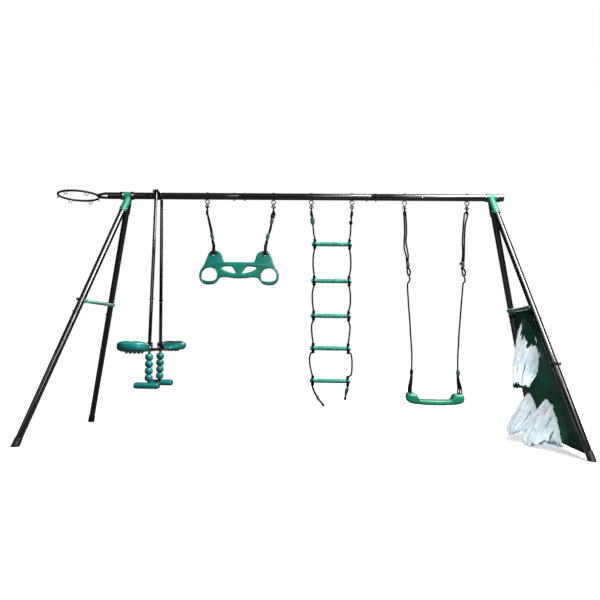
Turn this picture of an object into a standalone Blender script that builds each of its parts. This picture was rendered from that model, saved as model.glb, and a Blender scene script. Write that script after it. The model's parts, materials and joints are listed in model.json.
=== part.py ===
"""Garden swing set: a splayed A-frame at each end of a three-piece top bar, with
a two-seat glider, a trapeze with ring handles, a rope ladder, a rope swing, a
throwing hoop on the left end of the bar and a fabric target panel in the right
end frame.

Frame: +X along the top bar to the right, -Y to the front, +Z up. The origin is
on the ground under the middle of the set's whole length, from the hoop to the
far feet. Everything is built about the middle of the end frames, which is
ORIGIN_X to the right of the origin, and is moved there at the end.

Lengths are in metres. _R is a radius, _X, _Y and _Z are places, and _ALONG is a
distance along a leg from its apex.
"""

import math

import bmesh
import bpy
from mathutils import Matrix, Vector

# ---------------------------------------------------------- shared dimensions
ORIGIN_X = 0.0154905

BAR_Z = 1.780            # centre height of the top bar
BAR_R = 0.0255
BAR_WALL = 0.0015
BAR_LEFT_END = -1.492
BAR_RIGHT_END = 1.430
SLEEVE_IN_R = 0.0259     # bore of the parts that sit round the bar

APEX_X = 1.343           # where the leg axes meet the bar axis
FOOT_X = 1.829
FOOT_Y = 0.743
SLOPE = (FOOT_X - APEX_X) / BAR_Z           # X per metre of height of an end frame
SLOPE_N = math.sqrt(1 + SLOPE * SLOPE)      # length up that slope per metre of height
LEG_LEN = Vector((FOOT_X - APEX_X, FOOT_Y, BAR_Z)).length

TRAPEZE_HOOKS = (-0.748, -0.251)            # X of the left and right eye bolts
LADDER_HOOKS = (0.030, 0.330)
SWING_HOOKS = (0.716, 1.170)

EYE_Z = 1.735
EYE_R = 0.0115
EYE_WIRE_R = 0.0035
SWING_AXIS_Z = EYE_Z - EYE_R                # the bottom wire of each eye carries the hook

SIDES = {"left": -1, "right": 1}
ROWS = {"front": -1, "rear": 1}

# ------------------------------------------------------------------ materials
MATERIALS = {
    "black": dict(color=(0.012, 0.012, 0.016), roughness=0.25, metallic=0.0),
    "green_paint": dict(color=(0.02, 0.22, 0.13), roughness=0.30, metallic=0.0),
    "teal": dict(color=(0.01, 0.20, 0.17), roughness=0.35, metallic=0.0),
    "green": dict(color=(0.02, 0.26, 0.14), roughness=0.40, metallic=0.0),
    "rope": dict(color=(0.015, 0.015, 0.016), roughness=0.85, metallic=0.0),
    "zinc": dict(color=(0.62, 0.63, 0.65), roughness=0.35, metallic=1.0),
    "fabric": dict(color=(0.008, 0.055, 0.030), roughness=0.85, metallic=0.0),
    "net": dict(color=(0.80, 0.84, 0.86), roughness=0.60, metallic=0.0),
    "cap": dict(color=(0.02, 0.02, 0.02), roughness=0.55, metallic=0.0),
}
SHARP_ANGLE = math.radians(35)


def material(name, color, roughness, metallic):
    mat = bpy.data.materials.new(name)
    mat.use_nodes = True
    mat.diffuse_color = (*color, 1)
    shader = mat.node_tree.nodes["Principled BSDF"]
    shader.inputs["Base Color"].default_value = (*color, 1)
    shader.inputs["Roughness"].default_value = roughness
    shader.inputs["Metallic"].default_value = metallic
    return mat


def finish(obj, kind):
    """Gives a part its own material and smooth shading with sharp edges."""
    obj.data.materials.clear()
    obj.data.materials.append(material(f"{obj.name}_{kind}", **MATERIALS[kind]))
    if obj.type == "MESH":
        obj.data.shade_smooth()
        obj.data.set_sharp_from_angle(angle=SHARP_ANGLE)
    return obj


# --------------------------------------------------------------------- frames
def place(x, y, z):
    return Matrix.Translation((x, y, z))


ALONG_X = Matrix.Rotation(math.radians(90), 4, "Y")     # turns local Z to X
BAR_AXIS = place(0, 0, BAR_Z) @ ALONG_X


def frame_along(origin, direction, near_x=(1, 0, 0)):
    """A matrix whose Z runs along direction and whose X is near near_x."""
    z = Vector(direction).normalized()
    y = z.cross(Vector(near_x)).normalized()
    x = y.cross(z)
    matrix = Matrix((x, y, z)).transposed().to_4x4()
    matrix.translation = Vector(origin)
    return matrix


def upright(x):
    """Stands a plate drawn in X and Y up in X and Z."""
    return place(x, 0, 0) @ Matrix.Rotation(math.radians(90), 4, "X")


# --------------------------------------------------------------------- shapes
def new_object(name, data, matrix=None):
    obj = bpy.data.objects.new(name, data)
    PARTS.objects.link(obj)
    if matrix is not None:
        obj.matrix_world = matrix
    return obj


def object_from_bmesh(name, bm, matrix=None):
    mesh = bpy.data.meshes.new(name)
    bm.to_mesh(mesh)
    bm.free()
    return new_object(name, mesh, matrix)


def cylinder(name, radius, z0, z1, matrix=None, sides=16):
    bm = bmesh.new()
    bmesh.ops.create_cone(
        bm, cap_ends=True, segments=sides, radius1=radius, radius2=radius,
        depth=z1 - z0, matrix=place(0, 0, (z0 + z1) / 2),
    )
    return object_from_bmesh(name, bm, matrix)


def box(name, low, high, matrix=None, bevel=0.0):
    low, high = Vector(low), Vector(high)
    bm = bmesh.new()
    bmesh.ops.create_cube(bm, size=1)
    bmesh.ops.scale(bm, vec=high - low, verts=bm.verts)
    bmesh.ops.translate(bm, vec=(high + low) / 2, verts=bm.verts)
    obj = object_from_bmesh(name, bm, matrix)
    if bevel:
        mod = obj.modifiers.new("edges", "BEVEL")
        mod.width = bevel
        mod.segments = 1
    return obj


def turned(name, profile, matrix=None, steps=20, closed=True):
    """A profile of (radius, height) points turned about Z; closed joins the
    last point to the first."""
    count = len(profile)
    edges = [(i, i + 1) for i in range(count - 1)]
    if closed:
        edges.append((count - 1, 0))
    mesh = bpy.data.meshes.new(name)
    mesh.from_pydata([(r, 0, z) for r, z in profile], edges, [])
    obj = new_object(name, mesh, matrix)
    mod = obj.modifiers.new("turn", "SCREW")
    mod.steps = mod.render_steps = steps
    mod.use_merge_vertices = True
    mod.merge_threshold = 0.00001
    return obj


def tube_profile(radius, wall, z0, z1):
    return [(radius, z1), (radius, z0), (radius - wall, z0), (radius - wall, z1)]


def as_mesh(obj):
    """A mesh object in place of a curve, with its caps welded."""
    bpy.context.view_layer.update()
    graph = bpy.context.evaluated_depsgraph_get()
    mesh = bpy.data.meshes.new_from_object(obj.evaluated_get(graph))
    bm = bmesh.new()
    bm.from_mesh(mesh)
    bmesh.ops.remove_doubles(bm, verts=bm.verts, dist=0.00002)
    bmesh.ops.recalc_face_normals(bm, faces=bm.faces)
    bm.to_mesh(mesh)
    bm.free()
    name = obj.name
    matrix = obj.matrix_world.copy()
    bpy.data.objects.remove(obj, do_unlink=True)
    return new_object(name, mesh, matrix)


def wire(name, points, radius, resolution=1, cyclic=False, swells=None, matrix=None):
    """A round rod or rope through the points; swells multiply its radius."""
    curve = bpy.data.curves.new(name, "CURVE")
    curve.dimensions = "3D"
    curve.bevel_depth = radius
    curve.bevel_resolution = resolution
    curve.use_fill_caps = not cyclic
    spline = curve.splines.new("POLY")
    spline.points.add(len(points) - 1)
    for i, point in enumerate(points):
        spline.points[i].co = (*point, 1)
        if swells:
            spline.points[i].radius = swells[i]
    spline.use_cyclic_u = cyclic
    return as_mesh(new_object(name, curve, matrix))


def strand(name, path, radius):
    """A rope in the plane of the bar through (x, z, swell) points."""
    points = [(x, 0, z) for x, z, _ in path]
    return wire(name, points, radius, swells=[swell for _, _, swell in path])


def plate(name, outlines, thickness, matrix):
    """A flat plate: the first outline is its edge, the others are holes."""
    curve = bpy.data.curves.new(name, "CURVE")
    curve.dimensions = "2D"
    curve.fill_mode = "BOTH"
    curve.extrude = thickness / 2
    for outline in outlines:
        spline = curve.splines.new("POLY")
        spline.points.add(len(outline) - 1)
        for i, (x, y) in enumerate(outline):
            spline.points[i].co = (x, y, 0, 1)
        spline.use_cyclic_u = True
    return new_object(name, curve, matrix)


def skin(bm, loops):
    """Joins each loop of vertices to the next with a band of faces."""
    for first, second in zip(loops, loops[1:]):
        count = len(first)
        for j in range(count):
            k = (j + 1) % count
            bm.faces.new((first[j], first[k], second[k], second[j]))


def circle(centre_x, centre_y, radius, count):
    angles = [2 * math.pi * i / count for i in range(count)]
    return [(centre_x + radius * math.cos(a), centre_y + radius * math.sin(a)) for a in angles]


def arc(centre_x, centre_y, radius, start, end, count):
    """Points on a circle from start to end degrees, both included."""
    angles = [math.radians(start + (end - start) * i / (count - 1)) for i in range(count)]
    return [(centre_x + radius * math.cos(a), centre_y + radius * math.sin(a)) for a in angles]


def mirrored(points):
    """The points reflected in X, in reverse order."""
    return [(-x, y) for x, y in reversed(points)]


# -------------------------------------------------------- Booleans and pivots
def boolean(obj, operand, operation):
    mod = obj.modifiers.new(operation.lower(), "BOOLEAN")
    mod.operation = operation
    mod.solver = "EXACT"
    mod.object = operand
    PARTS.objects.unlink(operand)
    CUTTERS.objects.link(operand)
    operand.hide_render = True
    operand.display_type = "WIRE"


def unite(obj, operand):
    boolean(obj, operand, "UNION")


def cut(obj, operand):
    boolean(obj, operand, "DIFFERENCE")


def pivot(name, location, parent=None):
    """An empty on a moving axis; its location counts from its parent."""
    empty = new_object(name, None)
    empty.empty_display_size = 0.05
    empty.location = location
    empty.parent = parent
    return empty


def hang(empty, *objs):
    """Parents objects to an empty without moving them."""
    origin = Vector()
    above = empty
    while above is not None:
        origin += above.location
        above = above.parent
    for obj in objs:
        world = obj.matrix_world.copy()
        obj.parent = empty
        obj.matrix_basis = Matrix.Translation(-origin) @ world


# -------------------------------------------------------------------- top bar
BAR_SEAM_LEFT = -0.509
BAR_SEAM_RIGHT = 0.471
SEAM_GAP = 0.0005
NECK_R = 0.0236          # swaged necks of the middle bar
NECK_LEN = 0.070
EYE_HOLE_R = 0.0048


def top_bar():
    neck_in_r = NECK_R - BAR_WALL
    neck_left = BAR_SEAM_LEFT - NECK_LEN
    neck_right = BAR_SEAM_RIGHT + NECK_LEN
    left = tube_profile(BAR_R, BAR_WALL, BAR_LEFT_END, BAR_SEAM_LEFT - SEAM_GAP)
    right = tube_profile(BAR_R, BAR_WALL, BAR_SEAM_RIGHT + SEAM_GAP, BAR_RIGHT_END)
    middle = [
        (NECK_R, neck_right), (NECK_R, BAR_SEAM_RIGHT),
        (BAR_R, BAR_SEAM_RIGHT), (BAR_R, BAR_SEAM_LEFT),
        (NECK_R, BAR_SEAM_LEFT), (NECK_R, neck_left),
        (neck_in_r, neck_left), (neck_in_r, neck_right),
    ]
    for name, profile, hooks in (
        ("bar_left", left, TRAPEZE_HOOKS[:1]),
        ("bar_middle", middle, TRAPEZE_HOOKS[1:] + LADDER_HOOKS),
        ("bar_right", right, SWING_HOOKS),
    ):
        bar = turned(name, profile, BAR_AXIS)
        for x in hooks:
            hole = cylinder(f"eye_hole_{x:+.3f}", EYE_HOLE_R, 1.70, 1.86, place(x, 0, 0), 8)
            cut(bar, hole)
        finish(bar, "black")


def bar_end_cap():
    """A domed cap on the right end, with a plug inside the tube."""
    profile = (  # radius, distance beyond the end of the bar
        (0, 0.0070), (0.0200, 0.0065), (0.0250, 0.0040), (0.0258, 0.0003),
        (0.0236, 0.0003), (0.0236, -0.0180), (0, -0.0180),
    )
    points = [(r, BAR_RIGHT_END + x) for r, x in profile]
    finish(turned("bar_end_cap", points, BAR_AXIS, closed=False), "cap")


# ----------------------------------------------------------------- end frames
SLEEVE_X = 1.355
SLEEVE_HALF = 0.052
SLEEVE_OUT_R = 0.0296
SOCKET_R = 0.0229
SOCKET_OUT_R = 0.0256
SOCKET_START_ALONG = 0.004
SOCKET_END_ALONG = 0.136

LEG_R = 0.0225
LEG_WALL = 0.0012
LEG_NECK_R = 0.0209      # swaged neck of the lower leg, inside the upper leg
LEG_NECK_LEN = 0.060
LEG_JOINT_GAP = 0.0008
LEG_TOP_ALONG = 0.066
LEG_JOINT_ALONG = 1.020
LEG_END_ALONG = 1.968
CAP_OUT_R = 0.0262
CAP_TOP_ALONG = 1.930
CAP_CLEARANCE = 0.0004

CROSS_ALONG = 0.901
CROSS_R = 0.0125
CROSS_HALF = 0.300       # half the round length, between the flattened ends
CROSS_INSET = 0.0260     # from the plane of the leg axes to the crossbar axis
TAB_START = 0.286
TAB_HALF_WIDTH = 0.0145
TAB_FACES = (-0.003, 0.001)     # outer and inner face, from the crossbar axis
TAB_REACH = 0.004        # how far the tab's end centre is beyond the leg axis


def leg_frame(side, row):
    """Origin at the apex, +Z down the leg, +X near the world's X."""
    foot = Vector((SIDES[side] * FOOT_X, ROWS[row] * FOOT_Y, 0))
    apex = Vector((SIDES[side] * APEX_X, 0, BAR_Z))
    return frame_along(apex, foot - apex)


def corner_bracket(side):
    """A sleeve round the bar with a socket for each leg."""
    x = SIDES[side] * SLEEVE_X
    bracket = cylinder(f"corner_bracket_{side}", SLEEVE_OUT_R, x - SLEEVE_HALF,
                       x + SLEEVE_HALF, BAR_AXIS, 20)
    for row in ROWS:
        unite(bracket, cylinder(f"socket_{side}_{row}", SOCKET_OUT_R, SOCKET_START_ALONG,
                                SOCKET_END_ALONG, leg_frame(side, row)))
    for row in ROWS:
        cut(bracket, cylinder(f"socket_bore_{side}_{row}", SOCKET_R, LEG_TOP_ALONG - 0.002,
                              SOCKET_END_ALONG + 0.05, leg_frame(side, row)))
    cut(bracket, cylinder(f"bar_bore_{side}", SLEEVE_IN_R, x - 0.09, x + 0.09, BAR_AXIS, 24))
    finish(bracket, "green_paint")


def leg(side, row):
    matrix = leg_frame(side, row)
    upper = tube_profile(LEG_R, LEG_WALL, LEG_TOP_ALONG, LEG_JOINT_ALONG)
    finish(turned(f"leg_upper_{side}_{row}", upper, matrix, 16), "black")
    shoulder = LEG_JOINT_ALONG + LEG_JOINT_GAP
    neck_top = LEG_JOINT_ALONG - LEG_NECK_LEN
    neck_in_r = LEG_NECK_R - LEG_WALL
    lower = [
        (LEG_R, LEG_END_ALONG), (LEG_R, shoulder), (LEG_NECK_R, shoulder),
        (LEG_NECK_R, neck_top), (neck_in_r, neck_top), (neck_in_r, LEG_END_ALONG),
    ]
    finish(turned(f"leg_lower_{side}_{row}", lower, matrix, 16), "black")


def foot_cap(side, row):
    """A cap on the leg's end, cut level with the ground."""
    matrix = leg_frame(side, row)
    cap = cylinder(f"foot_cap_{side}_{row}", CAP_OUT_R, CAP_TOP_ALONG, LEG_LEN + 0.04, matrix, 20)
    cut(cap, cylinder(f"cap_socket_{side}_{row}", LEG_R + CAP_CLEARANCE, CAP_TOP_ALONG - 0.03,
                      LEG_END_ALONG + CAP_CLEARANCE, matrix, 20))
    cut(cap, box(f"ground_{side}_{row}", (-0.1, -0.1, -0.1), (0.1, 0.1, 0.0),
                 place(SIDES[side] * FOOT_X, ROWS[row] * FOOT_Y, 0)))
    finish(cap, "cap")


def crossbar(side):
    """A bar on the inner side of the legs, with flattened, rounded ends."""
    share = CROSS_ALONG / LEG_LEN
    x = SIDES[side] * (APEX_X + (FOOT_X - APEX_X) * share)
    inward = Vector((-SIDES[side], 0, -SLOPE)) / SLOPE_N
    centre = Vector((x, 0, BAR_Z * (1 - share))) + inward * CROSS_INSET
    matrix = frame_along(centre, (0, 1, 0), inward)      # local X points inward
    tab_end = FOOT_Y * share + TAB_REACH
    outer, inner = TAB_FACES
    cross = cylinder(f"crossbar_{side}", CROSS_R, -CROSS_HALF, CROSS_HALF, matrix)
    for end in (-1, 1):
        turn = Matrix.Rotation(0 if end > 0 else math.pi, 4, "X")
        unite(cross, box(f"tab_{side}_{end}", (outer, -TAB_HALF_WIDTH, TAB_START),
                         (inner, TAB_HALF_WIDTH, tab_end), matrix @ turn))
        unite(cross, cylinder(f"tab_end_{side}_{end}", TAB_HALF_WIDTH, outer, inner,
                              matrix @ place(0, 0, end * tab_end) @ ALONG_X))
    finish(cross, "green_paint")


# ----------------------------------------------------------------------- hoop
HOOP_X = -1.731
HOOP_Z = 1.778
HOOP_R = 0.150           # to the centre of the wire
HOOP_WIRE_R = 0.006
HOOP_HOOKS = 6
HOOP_FIRST_HOOK = 12     # degrees
HOOK_HALF = 0.0095       # half the width of a net hook
HOOK_DROP = 0.0155       # depth of its U
HOOK_TOP = -0.0035       # its open ends, from the hoop's height
HOOK_WIRE_R = 0.0018
TAIL_WIRE_R = 0.0035
ARM_HALF_Y = 0.016       # where the arms leave the hoop
ARM_HALF_Z = 0.0125      # where they reach the mount
MOUNT_X = BAR_LEFT_END - 0.004


def hoop():
    """The ring, its two arms to the mount, its net hooks and a short tail."""
    ring = [(x, y, 0) for x, y in circle(0, 0, HOOP_R, 30)]
    obj = wire("hoop", ring, HOOP_WIRE_R, cyclic=True, matrix=place(HOOP_X, 0, HOOP_Z))
    for label, sign in (("near", -1), ("far", 1)):
        y = sign * ARM_HALF_Y
        z = BAR_Z - sign * ARM_HALF_Z
        path = [(HOOP_X + HOOP_R - 0.001, y, HOOP_Z), (MOUNT_X - 0.030, y * 0.75, z),
                (MOUNT_X - 0.0066, y * 0.6, z)]
        unite(obj, wire(f"hoop_arm_{label}", path, HOOP_WIRE_R * 0.95))
    for i in range(HOOP_HOOKS):
        angle = math.radians(HOOP_FIRST_HOOK + 360 * i / HOOP_HOOKS)
        centre = Vector((HOOP_X + HOOP_R * math.cos(angle), HOOP_R * math.sin(angle), HOOP_Z))
        tangent = Vector((-math.sin(angle), math.cos(angle), 0))
        path = []
        for degrees in range(180, 361, 45):
            turn = math.radians(degrees)
            drop = Vector((0, 0, HOOK_TOP + HOOK_DROP * math.sin(turn)))
            path.append(centre + tangent * (HOOK_HALF * math.cos(turn)) + drop)
        unite(obj, wire(f"net_hook_{i}", path, HOOK_WIRE_R, resolution=0))
    tail = ((0.003, 0.0), (0.005, -0.020), (0.011, -0.046))   # X and Z from the hoop's wire
    path = [(HOOP_X + HOOP_R + x, 0.0, HOOP_Z + z) for x, z in tail]
    unite(obj, wire("hoop_tail", path, TAIL_WIRE_R))
    finish(obj, "black")


def hoop_mount():
    """A plug in the left end of the bar, with a flange outside it."""
    plug_end = BAR_LEFT_END + 0.035
    flange = BAR_LEFT_END - 0.0005
    face = MOUNT_X - 0.006
    profile = [
        (0, plug_end), (0.0236, plug_end), (0.0236, flange), (0.0262, flange),
        (0.0262, MOUNT_X - 0.002), (0.0225, face), (0, face),
    ]
    finish(turned("hoop_mount", profile, BAR_AXIS, closed=False), "black")


# --------------------------------------------------------------- target panel
PANEL_T = 0.004
PANEL_LOW_Z, PANEL_TOP_Z = 0.030, 0.956
PANEL_STEPS = 6
PANEL_GAP_FRONT = 0.0295     # from the leg axes to the edges
PANEL_GAP_REAR = 0.032
PANEL_TAPER_REAR = 0.083     # how much the rear gap widens to the top
RIM_LAP = 0.006              # how far a pocket's rim laps round its hole
RIM_DEPTH = 0.0045           # how far inward of the panel's middle the rim is
POCKET_RINGS, POCKET_SIDES = 6, 14
POCKET_T = 0.004

# Hole: name, y, height, radius. Pocket hem: height, offset along the panel's
# outward normal, half length, half width. Last, the bulge of the pocket.
TARGETS = (
    ("upper", -0.020, 0.730, 0.163, 0.405, -0.140, 0.085, 0.028, 0.030),
    ("rear", 0.470, 0.215, 0.120, 0.006, -0.130, 0.110, 0.085, 0.022),
    ("front", -0.035, 0.192, 0.135, 0.006, -0.115, 0.150, 0.100, 0.022),
)


def panel_frame():
    """X along the world's Y, Y up the slope of the end frame, Z outward."""
    matrix = Matrix.Identity(4)
    up_slope = Vector((-SLOPE, 0, 1)) / SLOPE_N
    outward = Vector((1, 0, SLOPE)) / SLOPE_N
    for i, axis in enumerate((Vector((0, 1, 0)), up_slope, outward)):
        matrix.col[i] = (*axis, 0)
    matrix.translation = (FOOT_X, 0, 0)
    return matrix


def target_panel():
    rear, front = [], []
    for k in range(PANEL_STEPS + 1):
        share = k / PANEL_STEPS
        z = PANEL_LOW_Z + (PANEL_TOP_Z - PANEL_LOW_Z) * share
        leg_y = FOOT_Y * (1 - z / BAR_Z)
        rear.append((leg_y - PANEL_GAP_REAR - PANEL_TAPER_REAR * share, z * SLOPE_N))
        front.append((-leg_y + PANEL_GAP_FRONT, z * SLOPE_N))
    holes = [circle(y, z * SLOPE_N, radius, 20) for _, y, z, radius, *_ in TARGETS]
    outline = rear + front[::-1]
    finish(plate("target_panel", [outline] + holes, PANEL_T, panel_frame()), "fabric")


def net_pocket(name, y, z, radius, hem_z, hem_offset, hem_long, hem_wide, bulge):
    """A bag that opens into its hole, bulges inward and hangs to a level hem."""
    rim_r = radius + RIM_LAP
    bm = bmesh.new()
    loops = []
    for k in range(POCKET_RINGS):
        share = k / (POCKET_RINGS - 1)
        loop = []
        for j in range(POCKET_SIDES):
            angle = 2 * math.pi * j / POCKET_SIDES
            across, up = math.cos(angle), math.sin(angle)
            rim = Vector((y + rim_r * across, z * SLOPE_N + rim_r * up, -RIM_DEPTH))
            offset = hem_offset - hem_wide * up
            hem = Vector((y + hem_long * across, hem_z * SLOPE_N - offset * SLOPE, offset))
            point = rim.lerp(hem, share)
            # The bulge is fullest halfway down and on the upper side.
            point.z -= bulge * math.sin(math.pi * share) ** 0.6 * (0.55 + 0.45 * up)
            loop.append(bm.verts.new(point))
        loops.append(loop)
    skin(bm, loops)
    hem = loops[-1]
    middle = sum((vert.co for vert in hem), Vector()) / POCKET_SIDES
    tip = bm.verts.new(middle + Vector((0, 0.004, 0)))
    for j in range(POCKET_SIDES):
        bm.faces.new((hem[j], hem[(j + 1) % POCKET_SIDES], tip))
    bmesh.ops.recalc_face_normals(bm, faces=bm.faces)
    pocket = object_from_bmesh("net_pocket_" + name, bm, panel_frame())
    mod = pocket.modifiers.new("thickness", "SOLIDIFY")
    mod.thickness = POCKET_T
    mod.offset = 0
    finish(pocket, "net")


# -------------------------------------------------------- eye bolts and hooks
BOLT_R = 0.0040
BOLT_HEAD_R = 0.0080
BOLT_NUT_R = 0.0095
LINK_WIRE_R = 0.0028
LINK_TOP_Z = SWING_AXIS_Z + EYE_WIRE_R + LINK_WIRE_R + 0.0004
LINK_BOTTOM_Z = 1.694
LINK_HALF_Y = 0.0085
ROPE_TOP_Z = LINK_BOTTOM_Z + 0.001
ROPE_R = 0.0055          # of the ladder and swing ropes


def eye_bolt(label, x):
    """A bolt through the bar, with its eye below."""
    top, under = BAR_Z + BAR_R, BAR_Z - BAR_R
    shank_end = EYE_Z + EYE_R - 0.0005
    bolt = turned(
        "eye_bolt_" + label,
        [(0, top + 0.0120), (BOLT_HEAD_R, top + 0.0075), (BOLT_HEAD_R, top + 0.0005),
         (BOLT_R, top + 0.0005), (BOLT_R, under - 0.0004), (BOLT_NUT_R, under - 0.0004),
         (BOLT_NUT_R, under - 0.0028), (BOLT_R, shank_end), (0, shank_end)],
        place(x, 0, 0), 8, closed=False,
    )
    ring = [(eye_x, 0, eye_z) for eye_x, eye_z in circle(0, EYE_Z, EYE_R, 12)]
    unite(bolt, wire(f"eye_{label}", ring, EYE_WIRE_R, cyclic=True, matrix=place(x, 0, 0)))
    finish(bolt, "zinc")


def link(name, x):
    """The spring hook that a rope hangs from, threaded through its eye."""
    path = arc(0, LINK_TOP_Z - LINK_HALF_Y, LINK_HALF_Y, 0, 180, 7)
    path += arc(0, LINK_BOTTOM_Z + LINK_HALF_Y, LINK_HALF_Y, 180, 360, 7)
    points = [(0, y, z) for y, z in path]
    return wire(name, points, LINK_WIRE_R, cyclic=True, matrix=place(x, 0, 0))


# --------------------------------------------------------------------- glider
GLIDER_X = -1.115
HANGER_TOP_Y, HANGER_TOP_Z = 0.085, 1.800     # upper pivots, either side of the bar
HANGER_LOW_Y, HANGER_LOW_Z = 0.165, 0.668     # lower pivots
TUBE_R = 0.0125                               # hangers and seat beam
PIN_R = 0.0040
PIN_CLEARANCE = 0.0004
HANGER_CLEARANCE = 0.0005
HANGER_EYE_R = 0.0130
HANGER_EYE_HALF = 0.0120
OPEN_HOLE_R = 0.0080
OPEN_HOLE_SHIFT = 0.0024

BRACKET_R = 0.0305
BRACKET_HALF = 0.022
BRACKET_PLATE = (0.0210, 0.106)               # half sizes in X and Y
BRACKET_PLATE_Z = (1.7885, 1.8130)
FORK_Y = (0.060, 0.130)
FORK_HALF = 0.0150                            # half the gap between fork or lug cheeks

BEAM_Z = 0.630
BEAM_HALF = 0.640
FOOT_BEAM_Z = 0.381
FOOT_BEAM_R = 0.0110
FOOT_BEAM_HALF = 0.245
POST_R = 0.0100
LUG_HALF_X, LUG_HALF_Y = 0.0200, 0.0170

BEADS = 4
BEAD_PITCH = 0.0500
BEAD_R = 0.0290
BEAD_CORE_R = 0.010
BEAD_BORE_R = 0.0105
BEAD_LOW_Z = 0.4030
BEAD_ANGLES = (78, 32, -32, -78)              # degrees down the side of a bead

REST_Y = 0.212                                # middle of a footrest
REST_HALF_X, REST_HALF_Y = 0.0880, 0.040
REST_Z = (0.3520, 0.3990)
REST_BORE_R = 0.0115
REST_POST_R = 0.0320

SEAT_BORE_R = TUBE_R + 0.0005
SEAT_SECTIONS = (  # distance from the middle, half width, top, underside
    (0.402, 0.034, 0.651, 0.625), (0.450, 0.060, 0.668, 0.622), (0.520, 0.098, 0.684, 0.620),
    (0.600, 0.104, 0.692, 0.620), (0.660, 0.088, 0.694, 0.624), (0.690, 0.052, 0.684, 0.634),
)


def glider_beam_frame(z):
    """Z along the world's Y, under the glider bracket."""
    return frame_along((GLIDER_X, 0, z), (0, 1, 0))


def glider_bracket():
    """A collar round the bar, with a plate forked at both ends."""
    half_x, half_y = BRACKET_PLATE
    low_z, high_z = BRACKET_PLATE_Z
    centre = place(GLIDER_X, 0, 0)
    collar_axis = place(GLIDER_X, 0, BAR_Z) @ ALONG_X
    bracket = cylinder("glider_bracket", BRACKET_R, -BRACKET_HALF, BRACKET_HALF, collar_axis, 24)
    unite(bracket, box("bracket_plate", (-half_x, -half_y, low_z), (half_x, half_y, high_z),
                       centre, 0.003))
    for end in (-1, 1):
        low_y, high_y = sorted(end * y for y in FORK_Y)
        cut(bracket, box(f"fork_{end}", (-FORK_HALF, low_y, 1.77), (FORK_HALF, high_y, 1.85),
                         centre))
        cut(bracket, cylinder(f"fork_hole_{end}", PIN_R + PIN_CLEARANCE, -0.04, 0.04,
                              place(GLIDER_X, end * HANGER_TOP_Y, HANGER_TOP_Z) @ ALONG_X, 12))
    cut(bracket, cylinder("bracket_bore", SLEEVE_IN_R, -0.05, 0.05, collar_axis, 24))
    finish(bracket, "black")


def glider_pin(name, y, z, half):
    """A pivot bolt along X with a round head and a nut."""
    profile = [
        (0, half + 0.006), (0.005, half + 0.0055), (0.0075, half + 0.0030),
        (0.0078, half + 0.0005), (PIN_R, half + 0.0005), (PIN_R, -half - 0.0005),
        (0.0075, -half - 0.0005), (0.0075, -half - 0.0065), (0, -half - 0.0065),
    ]
    matrix = place(GLIDER_X, y, z) @ ALONG_X
    return finish(turned(name, profile, matrix, 12, closed=False), "zinc")


def glider_hanger(row):
    top = Vector((GLIDER_X, ROWS[row] * HANGER_TOP_Y, HANGER_TOP_Z))
    low = Vector((GLIDER_X, ROWS[row] * HANGER_LOW_Y, HANGER_LOW_Z))
    length = (low - top).length
    matrix = frame_along(top, low - top)                 # +Z down the hanger
    low_end = matrix @ place(0, 0, length) @ ALONG_X
    hole_r = PIN_R + HANGER_CLEARANCE
    hanger = cylinder(f"glider_hanger_{row}", TUBE_R, 0.0, length, matrix)
    for z in (0.0, length):
        unite(hanger, cylinder(f"hanger_eye_{row}_{z:.1f}", HANGER_EYE_R, -HANGER_EYE_HALF,
                               HANGER_EYE_HALF, matrix @ place(0, 0, z) @ ALONG_X, 20))
    cut(hanger, cylinder(f"hanger_top_hole_{row}", hole_r, -0.03, 0.03, matrix @ ALONG_X, 12))
    if row == "front":
        cut(hanger, cylinder("hanger_low_hole_front", hole_r, -0.03, 0.03, low_end, 12))
    else:
        # The open pivot of the linkage: its hole is larger than its pin and
        # stands off centre, so that the pin never touches the wall.
        hole_axis = place(GLIDER_X, HANGER_LOW_Y + OPEN_HOLE_SHIFT, HANGER_LOW_Z) @ ALONG_X
        cut(hanger, cylinder("hanger_low_hole_rear", OPEN_HOLE_R, -0.03, 0.03, hole_axis))
    return finish(hanger, "black")


def glider_frame():
    """The seat beam and foot beam, joined by posts, with slotted lugs."""
    centre = place(GLIDER_X, 0, 0)
    frame = cylinder("glider_frame", TUBE_R, -BEAM_HALF, BEAM_HALF, glider_beam_frame(BEAM_Z))
    unite(frame, cylinder("foot_beam", FOOT_BEAM_R, -FOOT_BEAM_HALF, FOOT_BEAM_HALF,
                          glider_beam_frame(FOOT_BEAM_Z), 12))
    for row, sign in ROWS.items():
        y = sign * HANGER_LOW_Y
        unite(frame, cylinder(f"post_{row}", POST_R, FOOT_BEAM_Z, BEAM_Z,
                              place(GLIDER_X, y, 0), 12))
        unite(frame, box(f"lug_{row}", (-LUG_HALF_X, y - LUG_HALF_Y, BEAM_Z - 0.004),
                         (LUG_HALF_X, y + LUG_HALF_Y, HANGER_LOW_Z + 0.0150), centre, 0.004))
    for row, sign in ROWS.items():
        y = sign * HANGER_LOW_Y
        cut(frame, box(f"lug_slot_{row}", (-FORK_HALF, y - 0.05, BEAM_Z + 0.0130),
                       (FORK_HALF, y + 0.05, HANGER_LOW_Z + 0.05), centre))
        cut(frame, cylinder(f"lug_hole_{row}", PIN_R + PIN_CLEARANCE, -0.04, 0.04,
                            place(GLIDER_X, y, HANGER_LOW_Z) @ ALONG_X, 12))
    return finish(frame, "black")


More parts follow.
